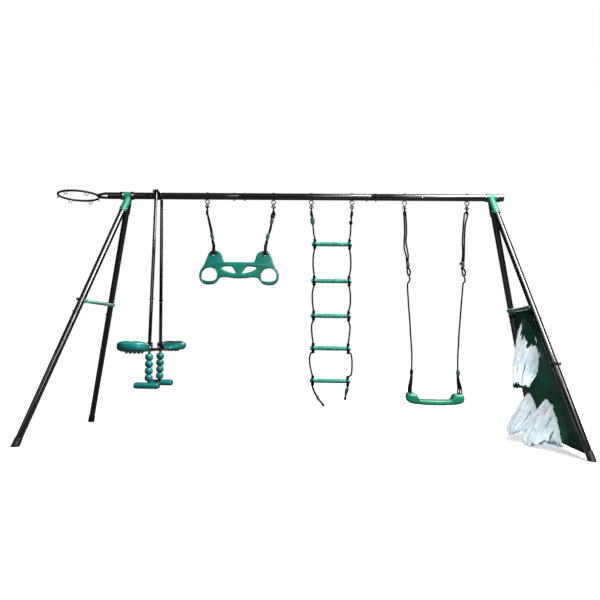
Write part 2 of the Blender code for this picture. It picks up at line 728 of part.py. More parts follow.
def bead_sleeve(row):
    """A stack of beads round a post, bored through."""
    top_z = BEAD_LOW_Z + BEADS * BEAD_PITCH
    half_height = BEAD_PITCH * 0.49
    profile = []
    for k in range(BEADS):
        bead_z = top_z - BEAD_PITCH * (k + 0.5)
        for degrees in BEAD_ANGLES:
            angle = math.radians(degrees)
            rise = math.sin(angle) / math.sin(math.radians(BEAD_ANGLES[0]))
            radius = BEAD_CORE_R + (BEAD_R - BEAD_CORE_R) * math.cos(angle)
            profile.append((radius, bead_z + half_height * rise))
    profile += [(BEAD_BORE_R, profile[-1][1]), (BEAD_BORE_R, profile[0][1])]
    matrix = place(GLIDER_X, ROWS[row] * HANGER_LOW_Y, 0)
    return finish(turned(f"bead_sleeve_{row}", profile, matrix, 12), "teal")


def glider_seat(row):
    """A saddle, narrow towards the hangers and broad away from them."""
    bm = bmesh.new()
    loops = []
    for y, half, top, under in SEAT_SECTIONS:
        middle = (top + under) / 2
        section = (
            (-half, under), (-half * 1.02, middle), (-half * 0.72, top), (0, top + 0.001),
            (half * 0.72, top), (half * 1.02, middle), (half, under), (0, under),
        )
        loops.append([bm.verts.new((x, ROWS[row] * y, z)) for x, z in section])
    skin(bm, loops)
    bm.faces.new(loops[0])
    bm.faces.new(loops[-1])
    bmesh.ops.recalc_face_normals(bm, faces=bm.faces)
    centre = place(GLIDER_X, 0, 0)
    seat = object_from_bmesh(f"glider_seat_{row}", bm, centre)
    mod = seat.modifiers.new("form", "SUBSURF")
    mod.levels = mod.render_levels = 1
    cut(seat, cylinder(f"seat_bore_{row}", SEAT_BORE_R, -0.8, 0.8, glider_beam_frame(BEAM_Z)))
    # The underside is open below the beam.
    cut(seat, box(f"seat_under_{row}", (-SEAT_BORE_R, -0.8, 0.58), (SEAT_BORE_R, 0.8, BEAM_Z),
                  centre))
    return finish(seat, "teal")


def footrest(row):
    """A block on the foot beam, slotted from above and hollowed at the post."""
    sign = ROWS[row]
    low_z, high_z = REST_Z
    rest = box(f"footrest_{row}", (-REST_HALF_X, -REST_HALF_Y, low_z),
               (REST_HALF_X, REST_HALF_Y, high_z), place(GLIDER_X, sign * REST_Y, 0), 0.012)
    cut(rest, cylinder(f"rest_bore_{row}", REST_BORE_R, -0.4, 0.4,
                       glider_beam_frame(FOOT_BEAM_Z), 12))
    cut(rest, cylinder(f"rest_post_{row}", REST_POST_R, 0.3960, 0.43,
                       place(GLIDER_X, sign * HANGER_LOW_Y, 0)))
    cut(rest, box(f"rest_slot_{row}", (-REST_BORE_R, -0.4, FOOT_BEAM_Z),
                  (REST_BORE_R, 0.4, 0.45), place(GLIDER_X, 0, 0)))
    return finish(rest, "teal")


def glider():
    glider_bracket()
    axes = {row: pivot(f"glider_{row}_axis", (GLIDER_X, sign * HANGER_TOP_Y, HANGER_TOP_Z))
            for row, sign in ROWS.items()}
    carriage = pivot(
        "glider_carriage_axis",
        (0, -(HANGER_LOW_Y - HANGER_TOP_Y), HANGER_LOW_Z - HANGER_TOP_Z), axes["front"],
    )
    hang(carriage, glider_frame())
    for row, sign in ROWS.items():
        glider_pin(f"glider_top_pin_{row}", sign * HANGER_TOP_Y, HANGER_TOP_Z, 0.0210)
        low_pin = glider_pin(f"glider_low_pin_{row}", sign * HANGER_LOW_Y, HANGER_LOW_Z, 0.0200)
        hang(axes[row], glider_hanger(row))
        hang(carriage, low_pin, bead_sleeve(row), glider_seat(row), footrest(row))


# -------------------------------------------------------------------- trapeze
TRAPEZE_X = -0.4995
TRAPEZE_PIVOT_Z = 1.346
TRAPEZE_ATTACH = 0.1935  # rope hole, either side of the middle
TRAPEZE_T = 0.028
ROPE_HOLE_R = 0.0105
RECESS_R = 0.0265        # recess round a rope hole, on the front and the rear
RECESS_Y = 0.004         # depth of its floor, from the middle plane
LOOP_HALF = 0.0240       # half the width of the rope loop through the plate
HAND_X, HAND_Z = 0.2215, 1.1950
HAND_HALF_X, HAND_HALF_Z = 0.0590, 0.0500

TRAPEZE_HALF = [  # x, z of the right half of the outline, from the middle of the top
    (0.000, 1.289), (0.060, 1.288), (0.105, 1.289), (0.112, 1.293), (0.120, 1.311),
    (0.127, 1.338), (0.141, 1.359), (0.164, 1.3695), (0.194, 1.3742), (0.222, 1.362),
    (0.240, 1.325), (0.262, 1.268), (0.288, 1.226), (0.297, 1.190), (0.290, 1.152),
    (0.262, 1.124), (0.222, 1.118), (0.182, 1.126), (0.160, 1.146), (0.140, 1.170),
    (0.100, 1.176), (0.050, 1.169),
]
TRAPEZE_WINDOW = (  # x, z of the opening right of the middle
    (0.055, 1.253), (0.087, 1.256), (0.118, 1.252), (0.129, 1.243), (0.112, 1.229),
    (0.085, 1.217), (0.055, 1.209), (0.026, 1.206), (0.032, 1.224),
)


def hand_hole(sign):
    """An oval, slightly narrower at the top than at the bottom."""
    points = []
    for i in range(18):
        angle = 2 * math.pi * i / 18
        up = math.sin(angle)
        half_x = HAND_HALF_X * (1 - 0.10 * up)
        points.append((sign * HAND_X + half_x * math.cos(angle), HAND_Z + HAND_HALF_Z * up))
    return points


def trapeze_bar():
    outline = TRAPEZE_HALF + [(0.0, 1.167)] + mirrored(TRAPEZE_HALF[1:])
    holes = [hand_hole(sign) for sign in (-1, 1)]
    holes += [[(sign * x, z) for x, z in TRAPEZE_WINDOW] for sign in (-1, 1)]
    holes += [circle(sign * TRAPEZE_ATTACH, TRAPEZE_PIVOT_Z, ROPE_HOLE_R, 10) for sign in (-1, 1)]
    bar = as_mesh(plate("trapeze_bar", [outline] + holes, TRAPEZE_T, upright(TRAPEZE_X)))
    for side in (-1, 1):
        for face in (-1, 1):
            floor = (TRAPEZE_X + side * TRAPEZE_ATTACH, face * RECESS_Y, TRAPEZE_PIVOT_Z + 0.004)
            cut(bar, cylinder(f"rope_recess_{side}_{face}", RECESS_R, 0.0, 0.05,
                              frame_along(floor, (0, face, 0)), 12))
    return finish(bar, "teal")


def trapeze_rope(label, hook_x):
    """A hook, a strand that thickens to its knot, and a loop through the plate."""
    end_x = TRAPEZE_X + SIDES[label] * TRAPEZE_ATTACH
    rope = link(f"trapeze_rope_{label}", hook_x)
    top = Vector((hook_x, ROPE_TOP_Z))
    knot = Vector((end_x, TRAPEZE_PIVOT_Z + 0.056))
    swells = (1, 1, 1.1, 1, 1, 1.5, 1.6)
    path = [(*top.lerp(knot, k / 6), swell) for k, swell in enumerate(swells)]
    unite(rope, strand(f"strand_{label}", path, 0.0060))
    loop = (  # y, height above the rope hole
        (0, 0.054), (-LOOP_HALF, 0.030), (-LOOP_HALF, 0.006), (-LOOP_HALF + 0.006, 0),
        (LOOP_HALF - 0.006, 0), (LOOP_HALF, 0.006), (LOOP_HALF, 0.030),
    )
    points = [(end_x, y, TRAPEZE_PIVOT_Z + z) for y, z in loop]
    unite(rope, wire(f"loop_{label}", points, 0.0040, cyclic=True))
    return finish(rope, "rope")


def trapeze():
    swing_axis = pivot("trapeze_swing_axis", (TRAPEZE_X, 0, SWING_AXIS_Z))
    tilt_axis = pivot("trapeze_tilt_axis", (0, 0, TRAPEZE_PIVOT_Z - SWING_AXIS_Z), swing_axis)
    hang(tilt_axis, trapeze_bar())
    for label, hook_x in zip(SIDES, TRAPEZE_HOOKS):
        hang(swing_axis, trapeze_rope(label, hook_x))


# --------------------------------------------------------------------- ladder
RUNG_Z = (1.428, 1.156, 0.899, 0.661, 0.423)
RUNG_LEFT, RUNG_RIGHT = 0.038, 0.335
RUNG_R = 0.0150
RUNG_END_R = 0.0125
RUNG_BEVEL = 0.003
RUNG_HOLE_R = 0.0072
LADDER_ROPE_X = (0.060, 0.316)
KNOT_Z = RUNG_R + 0.012                    # knot centres, above and below a rung
KNOT_PROFILE = (                           # height from the rung, swell of the rope
    (KNOT_Z + 0.014, 1.0), (KNOT_Z, 1.9), (KNOT_Z - 0.010, 1.0),
    (-KNOT_Z + 0.010, 1.0), (-KNOT_Z, 1.9), (-KNOT_Z - 0.014, 1.0),
)
ROPE_BOWS = (0.014, 0.014, 0.012, 0.029)   # outward bow below each rung but the last
LADDER_TAILS = {                           # x, z of the free ends below the last rung
    "left": ((0.070, 0.350), (0.098, 0.300), (0.128, 0.262), (0.144, 0.242)),
    "right": ((0.312, 0.355), (0.303, 0.320), (0.299, 0.287)),
}


def ladder_rung(number, z):
    profile = [
        (0, RUNG_RIGHT), (RUNG_END_R, RUNG_RIGHT), (RUNG_R, RUNG_RIGHT - RUNG_BEVEL),
        (RUNG_R, RUNG_LEFT + RUNG_BEVEL), (RUNG_END_R, RUNG_LEFT), (0, RUNG_LEFT),
    ]
    matrix = place(0, 0, z) @ ALONG_X
    rung = turned(f"ladder_rung_{number}", profile, matrix, 12, closed=False)
    for x in LADDER_ROPE_X:
        cut(rung, cylinder(f"rung_hole_{number}_{x:.3f}", RUNG_HOLE_R, z - 0.05, z + 0.05,
                           place(x, 0, 0), 8))
    return finish(rung, "green")


def ladder_rope(label, hook_x, x):
    side = SIDES[label]
    path = [
        (hook_x, ROPE_TOP_Z, 1.0),
        ((hook_x + x) / 2 - side * 0.004, (LINK_BOTTOM_Z + RUNG_Z[0]) / 2, 1.0),
    ]
    for i, z in enumerate(RUNG_Z):
        path += [(x, z + height, swell) for height, swell in KNOT_PROFILE]
        if i + 1 < len(RUNG_Z):
            path.append((x + side * ROPE_BOWS[i], (z + RUNG_Z[i + 1]) / 2, 1.0))
    path += [(tail_x, tail_z, 1.0) for tail_x, tail_z in LADDER_TAILS[label]]
    rope = link(f"ladder_rope_{label}", hook_x)
    unite(rope, strand(f"ladder_strand_{label}", path, ROPE_R))
    return finish(rope, "rope")


def ladder():
    axis = pivot("ladder_swing_axis", (sum(LADDER_HOOKS) / 2, 0, SWING_AXIS_Z))
    for i, z in enumerate(RUNG_Z):
        hang(axis, ladder_rung(i + 1, z))
    for label, hook_x, x in zip(SIDES, LADDER_HOOKS, LADDER_ROPE_X):
        hang(axis, ladder_rope(label, hook_x, x))


# ---------------------------------------------------------------------- swing
SEAT_LEFT, SEAT_RIGHT = 0.741, 1.153
SEAT_MID_X = (SEAT_LEFT + SEAT_RIGHT) / 2
SEAT_HALF_X = (SEAT_RIGHT - SEAT_LEFT) / 2
SEAT_HALF_Y = 0.075
SEAT_ROPE_X = (0.768, 1.126)
SEAT_ROPE_Y = 0.050
SEAT_HOLE_R = 0.0070
BRIDLE_R = 0.0045
RING_X = (0.743, 1.142)      # where each rope is thickest
SPLIT_X = (0.7785, 1.1125)   # where each rope divides into its bridle

# x from the middle, z of the left half of the outline, from the underside round
# the end to the top. The seat's end is at -SEAT_HALF_X.
SEAT_OUTLINE_LEFT = [
    (-0.060, 0.266), (-SEAT_HALF_X + 0.060, 0.272), (-SEAT_HALF_X + 0.018, 0.283),
    (-SEAT_HALF_X, 0.300), (-SEAT_HALF_X + 0.004, 0.322), (-SEAT_HALF_X + 0.006, 0.345),
    (-SEAT_HALF_X + 0.020, 0.353), (-SEAT_HALF_X + 0.046, 0.351),
    (-SEAT_HALF_X + 0.064, 0.334), (-SEAT_HALF_X + 0.100, 0.315), (-0.050, 0.307),
]


def swing_seat():
    outline = SEAT_OUTLINE_LEFT + [(0.0, 0.306)] + mirrored(SEAT_OUTLINE_LEFT) + [(0.0, 0.265)]
    seat = as_mesh(plate("swing_seat", [outline], 2 * SEAT_HALF_Y, upright(SEAT_MID_X)))
    for x in SEAT_ROPE_X:
        for y in (-SEAT_ROPE_Y, SEAT_ROPE_Y):
            cut(seat, cylinder(f"seat_rope_hole_{x:.3f}_{y:+.3f}", SEAT_HOLE_R, 0.312, 0.42,
                               place(x, y, 0), 10))
    return finish(seat, "green")


def swing_rope(label, hook_x, ring_x, split_x, seat_x):
    """A hook, a strand, and a bridle to the seat's front and rear holes."""
    rope = link(f"swing_rope_{label}", hook_x)
    path = [
        (hook_x, ROPE_TOP_Z, 1.2), (hook_x, 1.60, 1.4),
        (hook_x * 0.45 + ring_x * 0.55, 1.40, 1.4),
        (ring_x, 1.281, 1.7), (ring_x, 1.219, 1.5),
        (ring_x + (split_x - ring_x) * 0.1, 1.17, 1.0),
        ((ring_x + split_x) / 2, 0.86, 1.0), (split_x, 0.504, 1.5),
    ]
    unite(rope, strand(f"swing_strand_{label}", path, ROPE_R))
    bridle = [
        (seat_x, -SEAT_ROPE_Y, 0.318), (seat_x, -SEAT_ROPE_Y, 0.362), (split_x, 0, 0.5090),
        (seat_x, SEAT_ROPE_Y, 0.362), (seat_x, SEAT_ROPE_Y, 0.318),
    ]
    unite(rope, wire(f"bridle_{label}", bridle, BRIDLE_R))
    return finish(rope, "rope")


def swing():
    axis = pivot("swing_axis", (sum(SWING_HOOKS) / 2, 0, SWING_AXIS_Z))
    hang(axis, swing_seat())
    for rope in zip(SIDES, SWING_HOOKS, RING_X, SPLIT_X, SEAT_ROPE_X):
        hang(axis, swing_rope(*rope))


# ------------------------------------------------------------------- assembly
for old in list(bpy.data.objects):
    bpy.data.objects.remove(old, do_unlink=True)

PARTS = bpy.data.collections.new("swing_set")
CUTTERS = bpy.data.collections.new("cutters")       # operands of the Booleans
bpy.context.scene.collection.children.link(PARTS)
bpy.context.scene.collection.children.link(CUTTERS)

top_bar()
bar_end_cap()
for side_name in SIDES:
    corner_bracket(side_name)
    for row_name in ROWS:
        leg(side_name, row_name)
        foot_cap(side_name, row_name)
    crossbar(side_name)
hoop()
hoop_mount()
target_panel()
for target in TARGETS:
    net_pocket(*target)
for toy, hook_pair in (
    ("trapeze", TRAPEZE_HOOKS), ("ladder", LADDER_HOOKS), ("swing", SWING_HOOKS),
):
    for side_name, bolt_x in zip(SIDES, hook_pair):
        eye_bolt(f"{toy}_{side_name}", bolt_x)
glider()
trapeze()
ladder()
swing()

# Everything moves together, so that the origin is under the middle of the set.
for part in list(PARTS.objects) + list(CUTTERS.objects):
    if part.parent is None:
        part.location.x += ORIGIN_X
bpy.context.view_layer.update()
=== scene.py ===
"""The swing set as it looks: smooth tubes, moulded plastics, twisted ropes and
sewn cloth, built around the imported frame.

Everything is laid out from the middle of the end frames, as the frame's own
dimensions are, and moved by DX into the row frame at the end.
"""

import json
import math

import bmesh
import bpy
import numpy as np
from mathutils import Matrix, Vector, noise

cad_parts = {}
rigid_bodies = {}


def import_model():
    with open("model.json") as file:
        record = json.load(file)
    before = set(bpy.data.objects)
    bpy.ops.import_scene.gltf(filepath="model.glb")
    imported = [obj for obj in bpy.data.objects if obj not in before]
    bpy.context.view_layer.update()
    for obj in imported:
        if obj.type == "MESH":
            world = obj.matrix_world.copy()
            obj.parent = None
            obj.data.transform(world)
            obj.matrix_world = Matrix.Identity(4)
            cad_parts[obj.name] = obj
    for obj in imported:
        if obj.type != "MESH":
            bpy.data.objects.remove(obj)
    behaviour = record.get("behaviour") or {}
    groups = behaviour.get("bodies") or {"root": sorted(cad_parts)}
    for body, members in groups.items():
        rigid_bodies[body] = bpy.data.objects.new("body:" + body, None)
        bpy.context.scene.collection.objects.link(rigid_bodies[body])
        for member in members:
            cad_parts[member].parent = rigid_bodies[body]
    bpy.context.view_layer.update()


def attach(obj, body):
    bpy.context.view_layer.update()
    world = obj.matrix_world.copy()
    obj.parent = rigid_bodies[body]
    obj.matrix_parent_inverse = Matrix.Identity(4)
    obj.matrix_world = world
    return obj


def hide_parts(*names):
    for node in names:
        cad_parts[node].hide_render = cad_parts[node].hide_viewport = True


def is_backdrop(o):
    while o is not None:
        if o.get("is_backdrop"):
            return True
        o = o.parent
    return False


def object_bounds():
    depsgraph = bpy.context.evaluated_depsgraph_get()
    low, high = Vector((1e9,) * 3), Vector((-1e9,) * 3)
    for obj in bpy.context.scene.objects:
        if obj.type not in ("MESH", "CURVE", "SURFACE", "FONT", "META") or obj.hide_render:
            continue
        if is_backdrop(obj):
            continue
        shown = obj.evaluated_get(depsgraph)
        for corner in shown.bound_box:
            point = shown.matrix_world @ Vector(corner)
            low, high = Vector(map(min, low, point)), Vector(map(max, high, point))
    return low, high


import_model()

DX = 0.0154905
TAU = 2 * math.pi

# ------------------------------------------------------------ shared lengths
BAR_Z, BAR_R, BAR_WALL = 1.780, 0.0255, 0.0015
BAR_LEFT_END, BAR_SEAM_L, BAR_SEAM_R, BAR_RIGHT_END = -1.492, -0.509, 0.471, 1.430
APEX_X, FOOT_X, FOOT_Y = 1.343, 1.829, 0.743
LEG_R, LEG_WALL = 0.0225, 0.0012
SLOPE = (FOOT_X - APEX_X) / BAR_Z
SLOPE_N = math.sqrt(1 + SLOPE * SLOPE)
EYE_Z, EYE_R, EYE_WIRE_R = 1.735, 0.0115, 0.0035
AXIS_Z = EYE_Z - EYE_R
LINK_R, LINK_LOW_Z, LINK_HALF = 0.0028, 1.694, 0.0085
LINK_TOP_Z = AXIS_Z + EYE_WIRE_R + LINK_R + 0.0004
TRAPEZE_HOOKS, LADDER_HOOKS, SWING_HOOKS = (-0.748, -0.251), (0.030, 0.330), (0.716, 1.170)
GX, G_TOP_Y, G_TOP_Z, G_LOW_Y, G_LOW_Z = -1.115, 0.085, 1.800, 0.165, 0.668
G_BEAM_Z, G_FOOT_Z = 0.630, 0.381
TRAPEZE_X, TRAPEZE_PIVOT_Z, TRAPEZE_ATTACH = -0.4995, 1.346, 0.1935
RUNG_Z = (1.428, 1.156, 0.899, 0.661, 0.423)
LADDER_ROPE_X = (0.060, 0.316)
SIDES, ROWS = {"left": -1, "right": 1}, {"front": -1, "rear": 1}
X_AXIS, Y_AXIS, Z_AXIS = Vector((1, 0, 0)), Vector((0, 1, 0)), Vector((0, 0, 1))


# ================================================================= materials
def srgb(r, g, b):
    return tuple(
        (c / 255 / 12.92) if c / 255 <= 0.04045 else ((c / 255 + 0.055) / 1.055) ** 2.4
        for c in (r, g, b)
    ) + (1.0,)


def node(tree, kind, inputs=None, **props):
    made = tree.nodes.new("ShaderNode" + kind)
    for key, value in props.items():
        setattr(made, key, value)
    for key, value in (inputs or {}).items():
        if isinstance(value, bpy.types.NodeSocket):
            tree.links.new(value, made.inputs[key])
        else:
            made.inputs[key].default_value = value
    return made


def math_node(tree, operation, a, b=0.0, clamp=False):
    return node(tree, "Math", {0: a, 1: b}, operation=operation, use_clamp=clamp).outputs[0]


def mix(tree, factor, a, b, blend="MIX"):
    made = tree.nodes.new("ShaderNodeMix")
    made.data_type = "RGBA"
    made.blend_type = blend
    for index, value in ((0, factor), (6, a), (7, b)):
        if isinstance(value, bpy.types.NodeSocket):
            tree.links.new(value, made.inputs[index])
        else:
            made.inputs[index].default_value = value
    return made.outputs[2]


def ramp(tree, factor, stops):
    made = tree.nodes.new("ShaderNodeValToRGB")
    tree.links.new(factor, made.inputs[0])
    elements = made.color_ramp.elements
    while len(elements) < len(stops):
        elements.new(0.5)
    for element, (position, colour) in zip(elements, stops):
        element.position = position
        element.color = colour if len(colour) == 4 else (*colour, 1)
    return made.outputs[0]


def spread(tree, value, low, high, from_low=0.0, from_high=1.0):
    return node(
        tree, "MapRange",
        {"Value": value, "From Min": from_low, "From Max": from_high, "To Min": low, "To Max": high},
    ).outputs[0]


def noise_at(tree, where, scale, detail=3.0, stretch=(1, 1, 1), rough=0.5):
    mapping = node(tree, "Mapping", {"Vector": where, "Scale": stretch})
    return node(
        tree, "TexNoise", {"Vector": mapping.outputs[0], "Scale": scale, "Detail": detail, "Roughness": rough}
    ).outputs["Fac"]


def start(name):
    mat = bpy.data.materials.new(name)
    mat.use_nodes = True
    tree = mat.node_tree
    shader = tree.nodes["Principled BSDF"]
    where = tree.nodes.new("ShaderNodeTexCoord")
    return mat, tree, shader, where


def plug(tree, shader, **sockets):
    for key, value in sockets.items():
        socket = shader.inputs[key.replace("_", " ")]
        if isinstance(value, bpy.types.NodeSocket):
            tree.links.new(value, socket)
        else:
            socket.default_value = value


def bumps(tree, layers):
    """Stacks height layers (height socket, strength, distance) into one normal."""
    normal = None
    for height, strength, distance in layers:
        inputs = {"Height": height, "Strength": strength, "Distance": distance}
        if normal is not None:
            inputs["Normal"] = normal
        normal = node(tree, "Bump", inputs).outputs[0]
    return normal


def hard(name, dark, main, light, rough, grain, grain_depth, metal=0.0, coat=0.0, coat_rough=0.12,
         scuff=0.25, scuff_colour=None, dust=0.3, spec=0.5, stretch=(1, 1, 1), wave=0.0, sss=0.0, streak=0.0):
    """Painted steel, plated steel or moulded plastic: tone that drifts over the
    piece, grain, rubbed patches, fine scratches and dust near the ground."""
    mat, tree, shader, coord = start(name)
    where = coord.outputs["Object"]
    drift = noise_at(tree, where, 3.0, 3.0)
    fine = noise_at(tree, where, 90.0, 4.0, stretch)
    colour = ramp(tree, drift, [(0.25, dark), (0.5, main), (0.78, light)])
    colour = mix(tree, 0.35, colour, ramp(tree, fine, [(0.3, (0.75, 0.75, 0.75)), (0.7, (1.2, 1.2, 1.2))]), "MULTIPLY")
    # rubbed patches
    rub = noise_at(tree, where, 32.0, 6.0, (1, 1, 0.45), 0.62)
    rub = spread(tree, rub, 0.0, scuff, 0.56, 0.72)
    scratch = node(
        tree, "TexWave",
        {"Vector": node(tree, "Mapping", {"Vector": where, "Scale": (9, 9, 3), "Rotation": (0.4, 0.8, 0.3)}).outputs[0],
         "Scale": 6.0, "Distortion": 14.0, "Detail": 4.0, "Detail Scale": 2.0},
    ).outputs["Fac"]
    scratch = spread(tree, scratch, 0.0, scuff * 0.7, 0.975, 0.998)
    worn = math_node(tree, "MAXIMUM", rub, scratch, True)
    colour = mix(tree, worn, colour, scuff_colour or tuple(min(1.0, c * 2.2 + 0.02) for c in main[:3]) + (1.0,))
    # dust that settles low down
    height = node(tree, "SeparateXYZ", {0: where}).outputs[2]
    low = spread(tree, height, dust, 0.0, 0.0, 0.30)
    low = math_node(tree, "MULTIPLY", low, spread(tree, noise_at(tree, where, 24.0, 5.0), 0.1, 1.0, 0.35, 0.65), True)
    colour = mix(tree, low, colour, srgb(150, 142, 128))
    roughness = spread(tree, noise_at(tree, where, 14.0, 4.0), rough[0], rough[1], 0.3, 0.7)
    roughness = math_node(tree, "ADD", roughness, math_node(tree, "MULTIPLY", worn, 0.35))
    roughness = math_node(tree, "ADD", roughness, math_node(tree, "MULTIPLY", low, 0.4), True)
    layers = [(noise_at(tree, where, grain, 2.0, stretch), 0.6, grain_depth)]
    if wave:
        layers.append((noise_at(tree, where, 16.0, 1.0), 0.7, wave))
    if streak:
        layers.append((noise_at(tree, where, 60.0, 2.0, (1, 30, 30)), 0.5, streak))
    layers.append((worn, 0.4, 0.0002))
    plug(tree, shader, Base_Color=colour, Roughness=roughness, Metallic=metal, Coat_Weight=coat,
         Coat_Roughness=coat_rough, Specular_IOR_Level=spec, Subsurface_Weight=sss, Normal=bumps(tree, layers))
    if sss:
        shader.inputs["Subsurface Radius"].default_value = (0.006, 0.006, 0.005)
        shader.inputs["Subsurface Scale"].default_value = 0.4
    return mat


def rope_material(name, dark, light):
    """Twisted fibre: the strands are geometry, the fibres in them are bump."""
    mat, tree, shader, coord = start(name)
    uv = coord.outputs["UV"]
    fibres = node(
        tree, "TexWave",
        {"Vector": node(tree, "Mapping", {"Vector": uv, "Scale": (26, 700, 1), "Rotation": (0, 0, 0.35)}).outputs[0],
         "Scale": 1.0, "Distortion": 3.0, "Detail": 3.0, "Detail Scale": 1.5},
    ).outputs["Fac"]
    where = coord.outputs["Object"]
    fuzz = noise_at(tree, where, 700.0, 4.0)
    colour = mix(tree, math_node(tree, "MULTIPLY", fibres, fuzz), dark, light)
    colour = mix(tree, spread(tree, noise_at(tree, where, 18.0, 4.0), 0.0, 0.35, 0.5, 0.75), colour, tuple(min(1, c * 2.0) for c in light[:3]) + (1.0,))
    plug(tree, shader, Base_Color=colour, Roughness=spread(tree, fuzz, 0.62, 0.92), Specular_IOR_Level=0.12,
         Sheen_Weight=0.01, Sheen_Roughness=0.4,
         Normal=bumps(tree, [(fibres, 0.7, 0.0006), (fuzz, 0.5, 0.0004)]))
    return mat


def cloth_material(name, dark, main, light, thread, rough=(0.78, 0.95), sheen=0.2, weave_depth=0.0004, sss=0.0, stain=0.15):
    """Woven cloth: a plain weave in the sheet's own coordinates, slubs, patches of
    stain, a crease bump, and a soft sheen."""
    mat, tree, shader, coord = start(name)
    uv = coord.outputs["UV"]
    warp = node(tree, "TexWave", {"Vector": uv, "Scale": thread, "Distortion": 0.6, "Detail": 2.0}, bands_direction="X").outputs["Fac"]
    weft = node(tree, "TexWave", {"Vector": uv, "Scale": thread, "Distortion": 0.6, "Detail": 2.0}, bands_direction="Y").outputs["Fac"]
    weave = math_node(tree, "MULTIPLY", warp, weft)
    where = coord.outputs["Object"]
    drift = noise_at(tree, where, 6.0, 6.0)
    slub = noise_at(tree, where, 160.0, 4.0, (1, 1, 0.3))
    colour = ramp(tree, drift, [(0.28, dark), (0.5, main), (0.75, light)])
    colour = mix(tree, 0.45, colour, ramp(tree, weave, [(0.0, (0.62, 0.62, 0.62)), (0.6, (1.15, 1.15, 1.15))]), "MULTIPLY")
    colour = mix(tree, 0.3, colour, ramp(tree, slub, [(0.35, (0.8, 0.8, 0.8)), (0.7, (1.2, 1.2, 1.2))]), "MULTIPLY")
    colour = mix(tree, spread(tree, noise_at(tree, where, 3.0, 5.0), 0.0, stain, 0.55, 0.8), colour, srgb(120, 125, 112))
    plug(tree, shader, Base_Color=colour, Roughness=spread(tree, slub, rough[0], rough[1]), Specular_IOR_Level=0.25,
         Sheen_Weight=sheen, Sheen_Roughness=0.5, Subsurface_Weight=sss,
         Normal=bumps(tree, [(weave, 0.6, weave_depth), (slub, 0.4, weave_depth * 1.5), (noise_at(tree, where, 30.0, 4.0), 0.5, 0.0012)]))
    if sss:
        shader.inputs["Subsurface Radius"].default_value = (0.010, 0.011, 0.012)
        shader.inputs["Subsurface Scale"].default_value = 0.6
    return mat


BLACK = hard("gloss_black_paint", srgb(3, 3, 5), srgb(7, 7, 10), srgb(14, 14, 18), (0.11, 0.20), 900.0, 0.00006,
             coat=0.6, coat_rough=0.07, scuff=0.08, scuff_colour=srgb(60, 60, 66), dust=0.05, wave=0.0003)
GREEN_PAINT = hard("green_paint", srgb(6, 92, 68), srgb(16, 126, 94), srgb(34, 150, 116), (0.42, 0.58), 900.0, 0.00012,
                   coat=0.08, scuff=0.12, scuff_colour=srgb(90, 170, 145), dust=0.05, wave=0.0004)
CROSS_GREEN = hard("crossbar_green_paint", srgb(36, 112, 88), srgb(70, 146, 120), srgb(110, 178, 154), (0.22, 0.36), 900.0, 0.00012,
                   coat=0.3, scuff=0.15, scuff_colour=srgb(160, 200, 184), dust=0.05, wave=0.0004)
TEAL = hard("teal_plastic", srgb(2, 98, 96), srgb(6, 122, 120), srgb(16, 144, 140), (0.26, 0.40), 1300.0, 0.0002,
            coat=0.15, scuff=0.10, scuff_colour=srgb(90, 175, 168), dust=0.05, sss=0.03)
TRAPEZE_TEAL = hard("trapeze_teal_plastic", srgb(5, 96, 84), srgb(10, 114, 100), srgb(20, 134, 116), (0.26, 0.40), 1300.0, 0.0002,
                    coat=0.15, scuff=0.10, scuff_colour=srgb(90, 180, 160), dust=0.05, sss=0.03)
GREEN = hard("green_plastic", srgb(10, 104, 74), srgb(18, 126, 92), srgb(34, 146, 110), (0.26, 0.40), 1300.0, 0.0002,
             coat=0.15, scuff=0.10, scuff_colour=srgb(110, 195, 165), dust=0.05, sss=0.03)
RUNG_GREEN = hard("rung_plastic", srgb(30, 128, 110), srgb(46, 146, 126), srgb(64, 164, 142), (0.22, 0.34), 1300.0, 0.0002,
                  coat=0.2, scuff=0.08, scuff_colour=srgb(130, 205, 188), dust=0.05, sss=0.02)
SLIDE_GREEN = hard("slide_green_plastic", srgb(3, 40, 30), srgb(9, 60, 45), srgb(24, 84, 64), (0.28, 0.45), 1300.0, 0.0002,
                   scuff=0.15, dust=0.05)
ZINC = hard("zinc_plate", srgb(140, 142, 146), srgb(184, 186, 190), srgb(214, 216, 220), (0.20, 0.38), 500.0, 0.00012, metal=1.0,
            scuff=0.2, scuff_colour=srgb(110, 106, 100), dust=0.05, streak=0.0001)
SATIN = hard("satin_black_paint", srgb(2, 2, 3), srgb(5, 5, 6), srgb(11, 11, 13), (0.42, 0.60), 900.0, 0.00010,
             scuff=0.08, scuff_colour=srgb(44, 44, 48), dust=0.03, wave=0.0002)
DULL_ZINC = hard("dull_zinc_plate", srgb(74, 76, 80), srgb(112, 114, 118), srgb(158, 160, 164), (0.28, 0.46), 500.0, 0.00012, metal=1.0,
                 scuff=0.25, scuff_colour=srgb(60, 58, 54), dust=0.05, streak=0.0001)
CAP = hard("black_rubber", srgb(3, 3, 4), srgb(6, 6, 7), srgb(12, 12, 13), (0.38, 0.58), 800.0, 0.0003,
           scuff=0.08, scuff_colour=srgb(36, 36, 36), dust=0.03)
ROPE = rope_material("black_rope", srgb(0, 0, 1), srgb(6, 6, 7))
STRAP = cloth_material("black_webbing", srgb(3, 3, 4), srgb(7, 7, 8), srgb(15, 15, 17), 380.0, stain=0.02, sheen=0.02)
FABRIC = cloth_material("panel_cloth", srgb(2, 62, 42), srgb(5, 84, 58), srgb(12, 106, 76), 330.0, stain=0.02, sheen=0.0)
BINDING = cloth_material("panel_binding", srgb(2, 34, 24), srgb(5, 48, 34), srgb(16, 68, 50), 420.0, stain=0.04, sheen=0.0)
